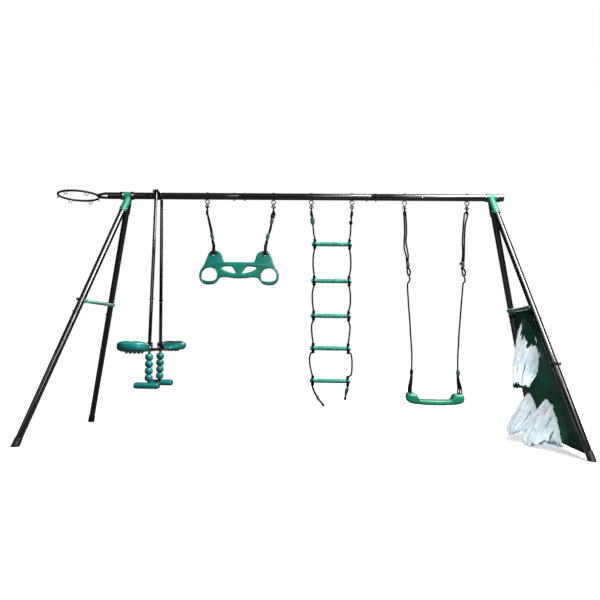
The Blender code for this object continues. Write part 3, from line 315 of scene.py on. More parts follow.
NET = cloth_material("net_cloth", srgb(208, 220, 226), srgb(232, 240, 243), srgb(250, 252, 252), 240.0, rough=(0.5, 0.75),
                     sheen=0.1, weave_depth=0.0007, sss=0.0, stain=0.04)
THREAD = cloth_material("stitching", srgb(30, 72, 56), srgb(62, 112, 92), srgb(110, 150, 132), 500.0, sheen=0.0)


def thin_cloth(mat, through, clear, painted_glow):
    """Lets light through: some scattered to the far side and some straight on
    between the threads. It also glows in its own colour, a painted light that stands in for the
    studio's white. Its pleats get painted shade in their valleys and painted highlight on their crests,
    and where its dark attribute is set it is painted the panel's dark green as shade."""
    tree = mat.node_tree
    out = tree.nodes["Material Output"]
    shader = tree.nodes["Principled BSDF"]
    colour = shader.inputs["Base Color"].links[0].from_socket
    fold = node(tree, "Attribute", attribute_name="fold").outputs["Fac"]
    dark = node(tree, "Attribute", attribute_name="dark").outputs["Fac"]
    # Painted shade in the pleats' valleys and painted highlight on their crests, from the fold attribute.
    colour = mix(tree, 1.0, colour, ramp(tree, fold, [(0.12, (0.10, 0.16, 0.17)), (0.34, (0.42, 0.50, 0.52)), (0.52, (0.88, 0.92, 0.93)), (0.66, (1.0, 1.0, 1.0)), (0.9, (1.12, 1.12, 1.12))]), "MULTIPLY")
    # Painted shade: the panel's dark green where the dark attribute is set.
    colour = mix(tree, dark, colour, srgb(8, 60, 44))
    tree.links.new(colour, shader.inputs["Base Color"])
    # Painted light: the cloth glows in its own colour.
    plug(tree, shader, Emission_Color=colour, Emission_Strength=painted_glow)
    back = node(tree, "BsdfTranslucent", {"Color": colour})
    where = tree.nodes.new("ShaderNodeTexCoord")
    patchy = noise_at(tree, where.outputs["Object"], 14.0, 4.0)
    first = node(tree, "MixShader", {0: spread(tree, patchy, through * 0.6, through * 1.4, 0.3, 0.7)})
    tree.links.new(shader.outputs[0], first.inputs[1])
    tree.links.new(back.outputs[0], first.inputs[2])
    empty = node(tree, "BsdfTransparent")
    second = node(tree, "MixShader", {0: spread(tree, patchy, 0.0, clear * 2, 0.35, 0.75)})
    tree.links.new(first.outputs[0], second.inputs[1])
    tree.links.new(empty.outputs[0], second.inputs[2])
    tree.links.new(second.outputs[0], out.inputs[0])


thin_cloth(NET, 0.30, 0.05, 0.50)


def paint_shade_by_facing(mat, amount, colour):
    """Paints shade into the base colour: darker at the edges that turn away from
    the eye and on faces that point down and away from the light."""
    tree = mat.node_tree
    shader = tree.nodes["Principled BSDF"]
    base = shader.inputs["Base Color"].links[0].from_socket
    # Painted shade: darker at the edges turned from the eye and on faces turned down and away from the light.
    rim = spread(tree, node(tree, "LayerWeight", {"Blend": 0.40}).outputs["Facing"], 0.0, amount, 0.30, 0.95)
    normal = tree.nodes.new("ShaderNodeNewGeometry").outputs["Normal"]
    lit = node(tree, "VectorMath", {0: normal, 1: (0.50, -0.18, 0.85)}, operation="DOT_PRODUCT").outputs["Value"]
    painted_under_shade = spread(tree, lit, amount, 0.0, -0.60, 0.32)
    base = mix(tree, rim, base, colour)
    base = mix(tree, painted_under_shade, base, colour)
    tree.links.new(base, shader.inputs["Base Color"])


# Painted shade for these materials: how strongly, and in which dark colour.
for made, amount, colour in ((TEAL, 0.75, srgb(0, 34, 34)), (TRAPEZE_TEAL, 0.75, srgb(0, 34, 28)), (GREEN, 0.55, srgb(2, 60, 40)), (RUNG_GREEN, 0.80, srgb(0, 38, 30)), (GREEN_PAINT, 0.45, srgb(0, 40, 28))):
    paint_shade_by_facing(made, amount, colour)


# =================================================================== geometry
def vec(p):
    return np.asarray(tuple(p), float)


def skin(rings, along=None, around=True, loop=False, caps=True):
    """Quads over rings of points (count, per ring, 3), with UVs of turns and
    metres. around closes each ring; loop joins the last ring to the first."""
    rings = np.asarray(rings, float)
    n, m = rings.shape[:2]
    if along is None:
        centre = rings.mean(1)
        along = np.concatenate([[0], np.cumsum(np.linalg.norm(np.diff(centre, axis=0), axis=1))])
    index = np.arange(n * m).reshape(n, m)
    rows = np.arange(n if loop else n - 1)
    cols = np.arange(m if around else m - 1)
    r, c = np.meshgrid(rows, cols, indexing="ij")
    r2, c2 = (r + 1) % n, (c + 1) % m
    faces = np.stack([index[r, c], index[r2, c], index[r2, c2], index[r, c2]], -1).reshape(-1, 4).tolist()
    step = along[-1] / max(n - 1, 1)
    v1 = along[r]
    v2 = np.where(r + 1 < n, along[np.minimum(r + 1, n - 1)], along[-1] + step)
    u1, u2 = c / m, (c + 1) / m
    uvs = np.stack([u1, v1, u1, v2, u2, v2, u2, v1], -1).reshape(-1, 2).tolist()
    if caps and around and not loop:
        faces.append(index[0][::-1].tolist())
        faces.append(index[-1].tolist())
        uvs += [(0.5, 0.0)] * (2 * m)
    return rings.reshape(-1, 3), faces, uvs


def frames(points, closed=False, side=None):
    """Tangents and two normals along a path, without twist."""
    p = np.asarray(points, float)
    t = (np.roll(p, -1, 0) - np.roll(p, 1, 0)) if closed else np.gradient(p, axis=0)
    t /= np.linalg.norm(t, axis=1)[:, None]
    a = np.asarray(side if side is not None else ((0, 0, 1) if abs(t[0][2]) < 0.9 else (1, 0, 0)), float)
    u = np.zeros_like(p)
    for i in range(len(p)):
        b = a - t[i] * (a @ t[i])
        a = u[i] = b / np.linalg.norm(b)
    if closed:
        b = a - t[0] * (a @ t[0])
        b /= np.linalg.norm(b)
        angle = math.atan2(np.cross(b, u[0]) @ t[0], b @ u[0])
        turn = angle * np.arange(len(p)) / len(p)
        u = u * np.cos(turn)[:, None] + np.cross(t, u) * np.sin(turn)[:, None]
    return t, u, np.cross(t, u)


def curve(points, step, closed=False, tension=0.5):
    """An even Catmull-Rom path through the points."""
    p = np.asarray([tuple(q) for q in points], float)
    n = len(p)
    out = []
    for i in range(n if closed else n - 1):
        q = [p[(i + k) % n] if closed else p[min(max(i + k, 0), n - 1)] for k in (-1, 0, 1, 2)]
        t = np.linspace(0, 1, 24, endpoint=False)[:, None]
        m1, m2 = tension * (q[2] - q[0]), tension * (q[3] - q[1])
        out.append((2 * t**3 - 3 * t**2 + 1) * q[1] + (t**3 - 2 * t**2 + t) * m1 + (-2 * t**3 + 3 * t**2) * q[2] + (t**3 - t**2) * m2)
    out = np.concatenate(out + [p[:1] if closed else p[-1:]])
    length = np.concatenate([[0], np.cumsum(np.linalg.norm(np.diff(out, axis=0), axis=1))])
    count = max(3, int(round(length[-1] / step)) + 1)
    at = np.linspace(0, length[-1], count)
    if closed:
        at = at[:-1]
    return np.stack([np.interp(at, length, out[:, k]) for k in range(3)], 1)


def circle(m, r=1.0, phase=0.0):
    a = np.arange(m) / m * TAU + phase
    return np.stack([r * np.cos(a), r * np.sin(a)], 1)


def sweep(path, section, closed=False, side=None, caps=True):
    path = np.asarray(path, float)
    _, u, v = frames(path, closed, side)
    section = np.asarray(section, float)
    if section.ndim == 2:
        section = np.broadcast_to(section, (len(path),) + section.shape)
    rings = path[:, None] + section[..., 0:1] * u[:, None] + section[..., 1:2] * v[:, None]
    length = np.concatenate([[0], np.cumsum(np.linalg.norm(np.diff(path, axis=0), axis=1))])
    return skin(rings, length, True, closed, caps)


def tube(path, r, m=24, closed=False, dome=False):
    """A round rod along a path; r is one radius or one for each point."""
    path = np.asarray(path, float)
    r = np.full(len(path), float(r)) if np.isscalar(r) else np.asarray(r, float)
    if dome:
        t, _, _ = frames(path)
        angles = np.radians([0, 25, 50, 75, 88])
        head = [path[0] - t[0] * r[0] * math.sin(a) for a in angles[1:]][::-1]
        tail = [path[-1] + t[-1] * r[-1] * math.sin(a) for a in angles[1:]]
        r = np.concatenate([[r[0] * math.cos(a) for a in angles[1:]][::-1], r, [r[-1] * math.cos(a) for a in angles[1:]]])
        path = np.concatenate([head, path, tail])
    return sweep(path, circle(m)[None] * r[:, None, None], closed)


def rope(points, r=0.0055, pitch=None, step=0.0032, closed=False, strands=3, wander=0.0, seed=0):
    """Three-strand twisted rope along the points."""
    path = curve(points, step, closed)
    if wander:
        for i in range(len(path)):
            fade = min(1.0, i / 12, (len(path) - 1 - i) / 12)
            path[i] += fade * wander * vec(noise.noise_vector(Vector((seed * 7.3, seed, i * step * 11))))
    pitch = pitch or r * 6.4
    m = 5 * strands
    a = np.arange(m) / m * TAU
    shape = r * (0.90 + 0.14 * np.abs(np.cos(a * strands / 2)) ** 0.7)
    turn = np.arange(len(path)) * step / pitch * TAU
    if closed:
        turn = np.arange(len(path)) / len(path) * TAU * round(len(path) * step / pitch)
    angle = a[None] + turn[:, None]
    section = np.stack([shape[None] * np.cos(angle), shape[None] * np.sin(angle)], -1)
    if not closed:
        ends = np.ones(len(path))
        ends[:3] = ends[-3:][::-1] = (0.55, 0.85, 0.97)
        section = section * ends[:, None, None]
    return sweep(path, section, closed)


def knot(centre, axis=(0, 0, 1), r=0.0050, turns=2.4, radius=0.0072):
    """A rope knot: the rope wound round itself and tucked in."""
    k = np.linspace(-0.12, 1.12, 40)
    grow = np.clip(np.minimum(k + 0.12, 1.12 - k) / 0.18, 0.15, 1)
    pts = np.stack([radius * grow * np.cos(TAU * turns * k), radius * grow * np.sin(TAU * turns * k) * 0.9, (k - 0.5) * r * 2 * turns * 0.92], 1)
    z = Vector(axis).normalized()
    x = z.cross(Y_AXIS).normalized() if abs(z.dot(Y_AXIS)) < 0.9 else z.cross(X_AXIS).normalized()
    m = np.stack([vec(x), vec(z.cross(x)), vec(z)])
    return rope(pts @ m + vec(centre), r, step=0.0028)


def soften(points, r, n=3, closed=False):
    """Rounds the corners of a flat outline."""
    p = [np.asarray(q, float) for q in points]
    out = []
    for i, q in enumerate(p):
        if not closed and i in (0, len(p) - 1):
            out.append(q)
            continue
        a, b = p[i - 1] - q, p[(i + 1) % len(p)] - q
        la, lb = np.linalg.norm(a), np.linalg.norm(b)
        d = min(r, la * 0.45, lb * 0.45)
        s, e = q + a / la * d, q + b / lb * d
        for k in range(n + 1):
            t = k / n
            out.append((1 - t) ** 2 * s + 2 * t * (1 - t) * q + t * t * e)
    return out


def basis(axis, side=(1, 0, 0)):
    """Axis and two directions square to it, the first near side."""
    z = Vector(axis).normalized()
    y = z.cross(Vector(side)).normalized()
    return vec(y.cross(z)), vec(y), vec(z)


def turned(profile, origin, axis, m=40, corner=0.0006, closed=False, side=None, star=None):
    """A profile of (radius, distance along the axis) turned about the axis.
    star gives a radius factor for each of the m directions, for hexagons."""
    side = side or ((1, 0, 0) if abs(Vector(axis).normalized().x) < 0.9 else (0, 1, 0))
    x, y, z = basis(axis, side)
    pts = np.array(soften([(max(r, 0.00005), s) for r, s in profile], corner, 2, closed))
    a = np.arange(m) / m * TAU
    f = np.ones(m) if star is None else star
    rings = (
        vec(origin) + pts[:, None, 1:2] * z
        + (pts[:, None, 0:1] * (np.cos(a) * f)[None, :, None]) * x + (pts[:, None, 0:1] * (np.sin(a) * f)[None, :, None]) * y
    )
    length = np.concatenate([[0], np.cumsum(np.linalg.norm(np.diff(pts, axis=0), axis=1))])
    return skin(rings, length, True, closed, not closed)


def hexagon(m=36):
    a = np.arange(m) / m * TAU
    return 1 / np.cos((a + math.pi / 6) % (math.pi / 3) - math.pi / 6) / 1.1547


def bolt(centre, axis, size=0.0075, height=0.0055, washer=True, cross=False):
    """A hex bolt head that stands on a surface at centre, pointing along axis."""
    geos = []
    base = 0.0
    if washer:
        geos.append(turned([(size * 0.5, 0.0002), (size * 1.45, 0.0002), (size * 1.45, 0.0014), (size * 0.5, 0.0014)], centre, axis, 32, 0.0003, closed=True))
        base = 0.0012
    geos.append(turned([(size * 1.12, base), (size * 1.12, base + height * 0.78), (size * 0.94, base + height), (0.0, base + height * 1.04)], centre, axis, 36, 0.0004, star=hexagon()))
    return geos


def dome(centre, axis, size=0.0075, height=0.004):
    """A round cap-nut or carriage-bolt head."""
    return [turned([(size * 1.25, 0.0), (size * 1.25, 0.0012), (size, 0.0016), (size * 0.92, height * 0.6), (size * 0.6, height * 0.92), (0.0, height)], centre, axis, 32, 0.0006)]


def join(geos):
    verts, faces, uvs, count = [], [], [], 0
    for v, f, u in geos:
        verts.append(v)
        faces += [[i + count for i in face] for face in f]
        uvs += list(u)
        count += len(v)
    return np.concatenate(verts), faces, uvs


def raw(name, geos, recalc=True):
    """A mesh object from geometry, with its normals turned outward."""
    verts, faces, uvs = join(geos if isinstance(geos, list) else [geos])
    mesh = bpy.data.meshes.new(name)
    mesh.from_pydata(verts.tolist(), [], faces)
    layer = mesh.uv_layers.new(name="UVMap")
    layer.data.foreach_set("uv", np.asarray(uvs, np.float32).ravel())
    obj = bpy.data.objects.new(name, mesh)
    bpy.context.scene.collection.objects.link(obj)
    if recalc:
        tidy(obj)
    return obj


def tidy(obj, merge=0.0):
    bm = bmesh.new()
    bm.from_mesh(obj.data)
    if merge:
        bmesh.ops.remove_doubles(bm, verts=bm.verts, dist=merge)
    bmesh.ops.recalc_face_normals(bm, faces=bm.faces)
    bm.to_mesh(obj.data)
    bm.free()


def apply_all(obj):
    """Replaces the object's mesh or curve with what its modifiers make of it."""
    bpy.context.view_layer.update()
    graph = bpy.context.evaluated_depsgraph_get()
    mesh = bpy.data.meshes.new_from_object(obj.evaluated_get(graph))
    if obj.type != "MESH":
        made = bpy.data.objects.new(obj.name + "_m", mesh)
        made.matrix_world = obj.matrix_world.copy()
        bpy.context.scene.collection.objects.link(made)
        name = obj.name
        bpy.data.objects.remove(obj, do_unlink=True)
        made.name = name
        made.data.transform(made.matrix_world)
        made.matrix_world = Matrix.Identity(4)
        return made
    obj.modifiers.clear()
    obj.data = mesh
    return obj


def combine(obj, others, operation):
    for other in others:
        mod = obj.modifiers.new("b", "BOOLEAN")
        mod.operation = operation
        mod.solver = "EXACT"
        mod.object = other
    obj = apply_all(obj)
    for other in others:
        bpy.data.objects.remove(other, do_unlink=True)
    return obj


def finish(obj, mat, body, stands_for=(), sharp=34):
    """Moves a piece into the row frame and hangs it on its body."""
    obj.data.materials.clear()
    obj.data.materials.append(mat)
    for poly in obj.data.polygons:
        poly.material_index = 0
    obj.data.transform(Matrix.Translation((DX, 0, 0)))
    obj.data.update()
    obj.data.shade_smooth()
    obj.data.set_sharp_from_angle(angle=math.radians(sharp))
    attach(obj, body)
    if stands_for:
        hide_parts(*stands_for)
    return obj


def piece(name, geos, mat, body, stands_for=(), sharp=34):
    return finish(raw(name, geos), mat, body, stands_for, sharp)


def flat(name, outlines, thickness, bevel, matrix):
    """A flat moulding with rounded edges: the first outline is its edge, the
    others are holes."""
    data = bpy.data.curves.new(name, "CURVE")
    data.dimensions = "2D"
    data.fill_mode = "BOTH"
    data.extrude = thickness / 2 - bevel
    data.bevel_depth = bevel
    data.bevel_resolution = 4
    data.offset = -bevel
    for outline in outlines:
        spline = data.splines.new("POLY")
        spline.points.add(len(outline) - 1)
        for point, (x, y) in zip(spline.points, outline):
            point.co = (x, y, 0, 1)
        spline.use_cyclic_u = True
    obj = bpy.data.objects.new(name, data)
    bpy.context.scene.collection.objects.link(obj)
    obj.matrix_world = matrix
    obj = apply_all(obj)
    tidy(obj, 0.00001)
    return obj


def flat_curve(points, step, closed=True):
    return [tuple(p[:2]) for p in curve([(x, y, 0) for x, y in points], step, closed)]


def block(low, high, r=0.002, n=3):
    """A box with rounded edges, as rings up its height."""
    (x0, y0, z0), (x1, y1, z1) = low, high
    def ring(inset, z):
        corners = [(x0 + inset, y0 + inset), (x1 - inset, y0 + inset), (x1 - inset, y1 - inset), (x0 + inset, y1 - inset)]
        return [(x, y, z) for x, y in soften(corners, max(r - inset, r * 0.3), n, True)]
    steps = [math.radians(a) for a in (0, 30, 60, 90)]
    rings = [ring(r * (1 - math.sin(a)), z0 + r * (1 - math.cos(a))) for a in steps]
    rings += [ring(r * (1 - math.sin(a)), z1 - r * (1 - math.cos(a))) for a in reversed(steps)]
    return skin(rings)


# =================================================================== top bar
def bar(name, a, b, neck_a=False, neck_b=False):
    profile = [(BAR_R, a), (BAR_R, b)]
    if neck_b:
        profile += [(BAR_R - 0.0012, b + 0.0008), (0.0236, b + 0.002), (0.0236, b + 0.070), (0.0221, b + 0.070)]
    profile += [(BAR_R - BAR_WALL if not neck_b else 0.0221, b if not neck_b else b + 0.069)]
    profile += [(BAR_R - BAR_WALL if not neck_a else 0.0221, a if not neck_a else a - 0.069)]
    if neck_a:
        profile += [(0.0221, a - 0.070), (0.0236, a - 0.070), (0.0236, a - 0.002), (BAR_R - 0.0012, a - 0.0008)]
    return piece(name + "_tube", turned(profile, (0, 0, BAR_Z), X_AXIS, 64, 0.0005, closed=True), BLACK, "root", [name])


bar("bar_left", BAR_LEFT_END, BAR_SEAM_L - 0.0005)
bar("bar_middle", BAR_SEAM_L, BAR_SEAM_R, True, True)
bar("bar_right", BAR_SEAM_R + 0.0005, BAR_RIGHT_END)
end = BAR_RIGHT_END
piece("bar_end_plug", turned([(0.0, end + 0.0072), (0.0150, end + 0.0070), (0.0215, end + 0.0058), (0.0252, end + 0.0036), (0.0259, end + 0.0003),
                              (0.0236, end + 0.0003), (0.0236, end - 0.018), (0.0, end - 0.018)], (0, 0, BAR_Z), X_AXIS, 56), CAP, "root", ["bar_end_cap"])


# ================================================================ end frames
def leg_axis(side, row):
    apex = Vector((SIDES[side] * APEX_X, 0, BAR_Z))
    foot = Vector((SIDES[side] * FOOT_X, ROWS[row] * FOOT_Y, 0))
    return apex, (foot - apex).normalized(), (foot - apex).length


def leg_at(side, row, s):
    apex, d, _ = leg_axis(side, row)
    return apex + d * s


def in_plane(side, y, z, out=0.0):
    """A point of an end frame's plane at width y and height z."""
    n = Vector((SIDES[side], 0, SLOPE)) / SLOPE_N
    return Vector((SIDES[side] * (FOOT_X - SLOPE * z), y, z)) + n * out


bolts, knobs = [], []
for side, sx in SIDES.items():
    outward = Vector((sx, 0, SLOPE)) / SLOPE_N
    # Corner bracket: a sleeve on the bar, two sockets and the webs between.
    centre = Vector((sx * 1.355, 0, BAR_Z))
    sleeve = raw(f"corner_bracket_{side}_shell", turned([(0.0296, -0.052), (0.0296, 0.052), (0.020, 0.052), (0.020, -0.052)], centre, X_AXIS, 56, 0.0016, closed=True))
    parts = []
    for row in ROWS:
        apex, d, _ = leg_axis(side, row)
        parts.append(raw("s", turned([(0.0256, 0.006), (0.0256, 0.1335), (0.0266, 0.1345), (0.0266, 0.1385), (0.0, 0.1385), (0.0, 0.006)], apex, d, 44, 0.0008)))
    web = [in_plane(side, y, z, o) for o in (-0.0022, 0.0022) for y, z in
           ((-0.036, 1.664), (-0.018, 1.660), (0.0, 1.648), (0.018, 1.660), (0.036, 1.664), (0.014, 1.745), (-0.014, 1.745))]
    loops = np.array([vec(p) for p in web]).reshape(2, 7, 3)
    parts.append(raw("w", skin(loops)))
    bracket = combine(sleeve, parts, "UNION")
    cuts = []
    for row in ROWS:
        apex, d, _ = leg_axis(side, row)
        cuts.append(raw("c", turned([(0.0229, 0.064), (0.0229, 0.18), (0.0, 0.18), (0.0, 0.064)], apex, d, 44, 0.0002)))
    cuts.append(raw("c", turned([(0.0259, -0.09), (0.0259, 0.09), (0.0, 0.09), (0.0, -0.09)], centre, X_AXIS, 56, 0.0002)))
    bracket = combine(bracket, cuts, "DIFFERENCE")
    finish(bracket, GREEN_PAINT, "root", [f"corner_bracket_{side}"], 30)
    bands = []
    for c in (-1, 1):
        bands.append(turned([(0.0288, c * 0.0300), (0.0300, c * 0.0304), (0.0306, c * 0.0330), (0.0306, c * 0.0500), (0.0300, c * 0.0526), (0.0262, c * 0.0530), (0.0262, c * 0.0524), (0.0288, c * 0.0518)], centre, X_AXIS, 56, 0.0008, closed=True))
    piece(f"bracket_bands_{side}", bands, BLACK, "root", (), 40)
    # Weld beads where the sockets meet the sleeve.
    beads = []
    for row, ry in ROWS.items():
        apex, d, _ = leg_axis(side, row)
        x, y, z = basis(d)
        ring = []
        for k in range(72):
            a = TAU * k / 72
            radial = x * math.cos(a) + y * math.sin(a)
            s = 0.010
            for _ in range(60):
                p = vec(apex) + z * s + radial * 0.0256
                if math.hypot(p[1], p[2] - BAR_Z) > 0.0296:
                    break
                s += 0.0006
            ring.append(p + 0.0004 * vec(noise.noise_vector(Vector((k * 0.9, ry * 3, sx)))))
        ring = np.array(ring)
        radii = 0.0019 * (1 + 0.18 * np.abs(np.sin(np.arange(72) * 1.3)))
        beads.append(tube(ring, radii, 10, closed=True))
    piece(f"bracket_welds_{side}", beads, GREEN_PAINT, "root", (), 60)

    # Painted shade: a black shroud over the rear socket, where the green socket lies in shade.
    apex, d, _ = leg_axis(side, "rear")
    piece(f"bracket_shroud_{side}", turned([(0.0258, 0.060), (0.0268, 0.060), (0.0270, 0.064), (0.0270, 0.1330), (0.0276, 0.1345), (0.0276, 0.1395), (0.0270, 0.1405), (0.0236, 0.1405), (0.0236, 0.1390), (0.0268, 0.1388)], apex, d, 44, 0.0006, closed=True),
          BLACK, "root", (), 40)
    for row, ry in ROWS.items():
        apex, d, length = leg_axis(side, row)
        piece(f"leg_upper_{side}_{row}_tube",
              turned([(LEG_R, 0.066), (LEG_R, 1.0165), (LEG_R + 0.0003, 1.020), (LEG_R - LEG_WALL, 1.020), (LEG_R - LEG_WALL, 0.066)], apex, d, 48, 0.0005, closed=True),
              BLACK, "root", [f"leg_upper_{side}_{row}"])
        piece(f"leg_lower_{side}_{row}_tube",
              turned([(LEG_R, 1.968), (LEG_R, 1.0225), (LEG_R - 0.0009, 1.0208), (0.0209, 1.0208), (0.0209, 0.960), (0.0197, 0.960), (0.0197, 1.02), (LEG_R - LEG_WALL, 1.03), (LEG_R - LEG_WALL, 1.968)], apex, d, 48, 0.0005, closed=True),
              BLACK, "root", [f"leg_lower_{side}_{row}"])
        cap = raw(f"foot_cap_{side}_{row}_boot",
                  turned([(LEG_R + 0.0004, 1.931), (0.0258, 1.931), (0.0262, 1.934), (0.0258, 1.938), (0.0258, 1.941), (0.0262, 1.944), (0.0262, 1.955),
                          (0.0256, 1.957), (0.0262, 1.959), (0.0262, 2.030), (0.0, 2.030), (0.0, 1.9684), (LEG_R + 0.0004, 1.9684)], apex, d, 44, 0.0006, closed=True))
        foot = leg_at(side, row, length)
        ground = raw("g", block((foot.x - 0.1, foot.y - 0.1, -0.12), (foot.x + 0.1, foot.y + 0.1, 0.0), 0.001))
        cap = combine(cap, [ground], "DIFFERENCE")
        finish(cap, CAP, "root", [f"foot_cap_{side}_{row}"])
        # Bolt and nut through the joint, and through the socket.
        x, y, z = basis(d)
        out = vec(outward)
        for s, r in ((0.995, LEG_R), (0.112, 0.0256)):
            p = vec(leg_at(side, row, s))
            bolts += bolt(p + out * (r - 0.0003), out, 0.0058, 0.0045)
            bolts += dome(p - out * (r - 0.0003), -out, 0.0055, 0.0045)
        # Crossbar bolt: a knob outside the leg, a nut on the tab.
        p = vec(leg_at(side, row, 0.901))
        if side == "left":
            knobs += [turned([(0.0085, 0.0), (0.0085, 0.006), (0.0095, 0.008), (0.0105, 0.011), (0.0095, 0.017), (0.0, 0.019)], p + out * (LEG_R - 0.0006), out, 36, 0.0012)]
        else:
            bolts += bolt(p + out * (LEG_R - 0.0003), out, 0.0058, 0.0045)
            q = vec(leg_at(side, row, (1 - 0.585 / BAR_Z) * length))
            knobs += [turned([(0.0080, 0.0), (0.0080, 0.005), (0.0090, 0.007), (0.0098, 0.010), (0.0090, 0.015), (0.0, 0.017)], q + out * (LEG_R + 0.0012), out, 36, 0.0012)]
        bolts += bolt(p - out * (0.0260 + 0.0010), -out, 0.0055, 0.0045)

    # Crossbar: a tube with its ends pressed flat.
    s = 0.901
    mid = leg_at(side, "front", s)
    centre = Vector((mid.x, 0, mid.z)) - outward * 0.0260
    rings = []
    m = 40
    a = np.arange(m) / m * TAU
    inward = -vec(outward)
    width = vec(Y_AXIS.cross(-outward))
    y_leg = abs(mid.y)
    tip = y_leg + 0.0185
    stations = sorted({round(v, 5) for v in list(np.linspace(-0.272, 0.272, 3)) + [sgn * v for sgn in (-1, 1) for v in list(np.linspace(0.272, 0.312, 12)) + [y_leg - 0.012] + [y_leg + 0.004 + 0.0145 * math.sin(math.radians(k)) for k in (0, 20, 40, 60, 75, 86)]]})
    for y in stations:
        t = min(max((abs(y) - 0.272) / 0.036, 0), 1)
        t = t * t * (3 - 2 * t)
        half_w = 0.0125 * (1 - t) + 0.0145 * t
        half_t = 0.0125 * (1 - t) + 0.0020 * t
        if abs(y) > y_leg + 0.004:
            half_w = max(0.0145 * math.sqrt(max(0.0, 1 - ((abs(y) - y_leg - 0.004) / 0.0145) ** 2)), 0.0008)
        power = 1 - 0.55 * t
        c, q = np.cos(a), np.sin(a)
        px = np.sign(c) * np.abs(c) ** power * half_t - 0.001 * t
        pw = np.sign(q) * np.abs(q) ** power * half_w
        rings.append(vec(centre) + np.array([0, y, 0]) + px[:, None] * inward + pw[:, None] * width)
    piece(f"crossbar_{side}_tube", skin(rings), CROSS_GREEN, "root", [f"crossbar_{side}"])

for x in (-1.387, -1.313, 1.300, 1.388):
    bolts += dome(Vector((x, -0.0292, BAR_Z)), (0, -1, 0), 0.0072, 0.0060)
    bolts += bolt(Vector((x, 0.0292, BAR_Z)), (0, 1, 0), 0.0062, 0.0050)
for x in (-0.546, -0.468, 0.437, 0.504):
    bolts += bolt(Vector((x, 0, BAR_Z - BAR_R + 0.0002)), (0, 0, -1), 0.0058, 0.0060)
    bolts += dome(Vector((x, 0, BAR_Z + BAR_R - 0.0002)), (0, 0, 1), 0.0060, 0.0042)
for x in (0.843, -1.165):
    bolts += dome(Vector((x, -BAR_R + 0.0003, BAR_Z - 0.004)), (0, -1, 0), 0.0045, 0.0030)
piece("frame_bolts", bolts, ZINC, "root", (), 30)
piece("crossbar_knobs", knobs, CAP, "root", (), 30)

# ====================================================================== hoop
HX, HZ, HR, HW = -1.731, 1.778, 0.150, 0.0082
ring_path = [(HX + HR * math.cos(t), HR * math.sin(t), HZ) for t in np.linspace(0, TAU, 120, endpoint=False)]
hoop = [tube(ring_path, HW, 20, closed=True)]
net_hooks = []
mount_x = BAR_LEFT_END - 0.004
welds = []
for dy, dz in ((-0.016, 0.0125), (0.016, -0.0125)):
    pts = [(HX + HR - 0.001, dy, HZ), (-1.560, dy * 0.92, HZ + dz * 0.5), (mount_x - 0.030, dy * 0.75, BAR_Z + dz), (mount_x - 0.0040, dy * 0.6, BAR_Z + dz)]
    hoop.append(tube(curve(pts, 0.004), HW * 1.20, 20))
    welds.append(((HX + HR - 0.002, dy, HZ), 0.0085))
    welds.append(((mount_x - 0.0060, dy * 0.6, BAR_Z + dz), 0.0080))
for i in range(6):
    a = math.radians(12 + 60 * i)
    c = Vector((HX + HR * math.cos(a), HR * math.sin(a), HZ))
    t = Vector((-math.sin(a), math.cos(a), 0))
    pts = [c + t * (0.0150 * math.cos(b)) + Vector((0, 0, -0.0040 + 0.0230 * math.sin(b))) for b in [math.radians(k) for k in range(180, 361, 15)]]
    net_hooks.append(tube([vec(p) for p in pts], 0.0029, 12, dome=True))
    for end_point in (pts[0], pts[-1]):
        welds.append((tuple(end_point + Vector((0, 0, 0.0005))), 0.0032))
hoop.append(tube(curve([(HX + HR + 0.001, 0, HZ), (HX + HR + 0.005, 0, HZ - 0.020), (HX + HR + 0.011, 0, HZ - 0.046)], 0.003), 0.0035, 16, dome=True))
welds.append(((HX + HR + 0.001, 0, HZ - 0.003), 0.0060))
for k, (p, r) in enumerate(welds):
    rings = []
    for la in np.radians(np.linspace(-88, 88, 9)):
        rings.append([vec(p) + r * (1 + 0.16 * noise.noise(Vector((k * 5.1 + math.cos(lo) * 2, math.sin(lo) * 2, la * 2)))) * np.array([math.cos(la) * math.cos(lo), math.cos(la) * math.sin(lo), math.sin(la)]) for lo in np.linspace(0, TAU, 16, endpoint=False)])
    hoop.append(skin(rings))
piece("hoop_net_hooks", net_hooks, DULL_ZINC, "root", (), 50)
piece("hoop_wire", hoop, SATIN, "root", ["hoop"], 50)
# The ring sits a little askew on its arms, its far side lower.
sag = Matrix.Translation((0, 0, HZ)) @ Matrix.Rotation(math.radians(-4.2), 4, "X") @ Matrix.Translation((0, 0, -HZ))
for label in ("hoop_net_hooks", "hoop_wire"):
    bpy.data.objects[label].data.transform(sag)
piece("hoop_mount_plug", turned([(0.0, BAR_LEFT_END + 0.035), (0.0236, BAR_LEFT_END + 0.035), (0.0236, BAR_LEFT_END - 0.0005), (0.0262, BAR_LEFT_END - 0.0005),
                                 (0.0262, mount_x - 0.0015), (0.0225, mount_x - 0.0055), (0.0, mount_x - 0.006)], (0, 0, BAR_Z), X_AXIS, 56), BLACK, "root", ["hoop_mount"])

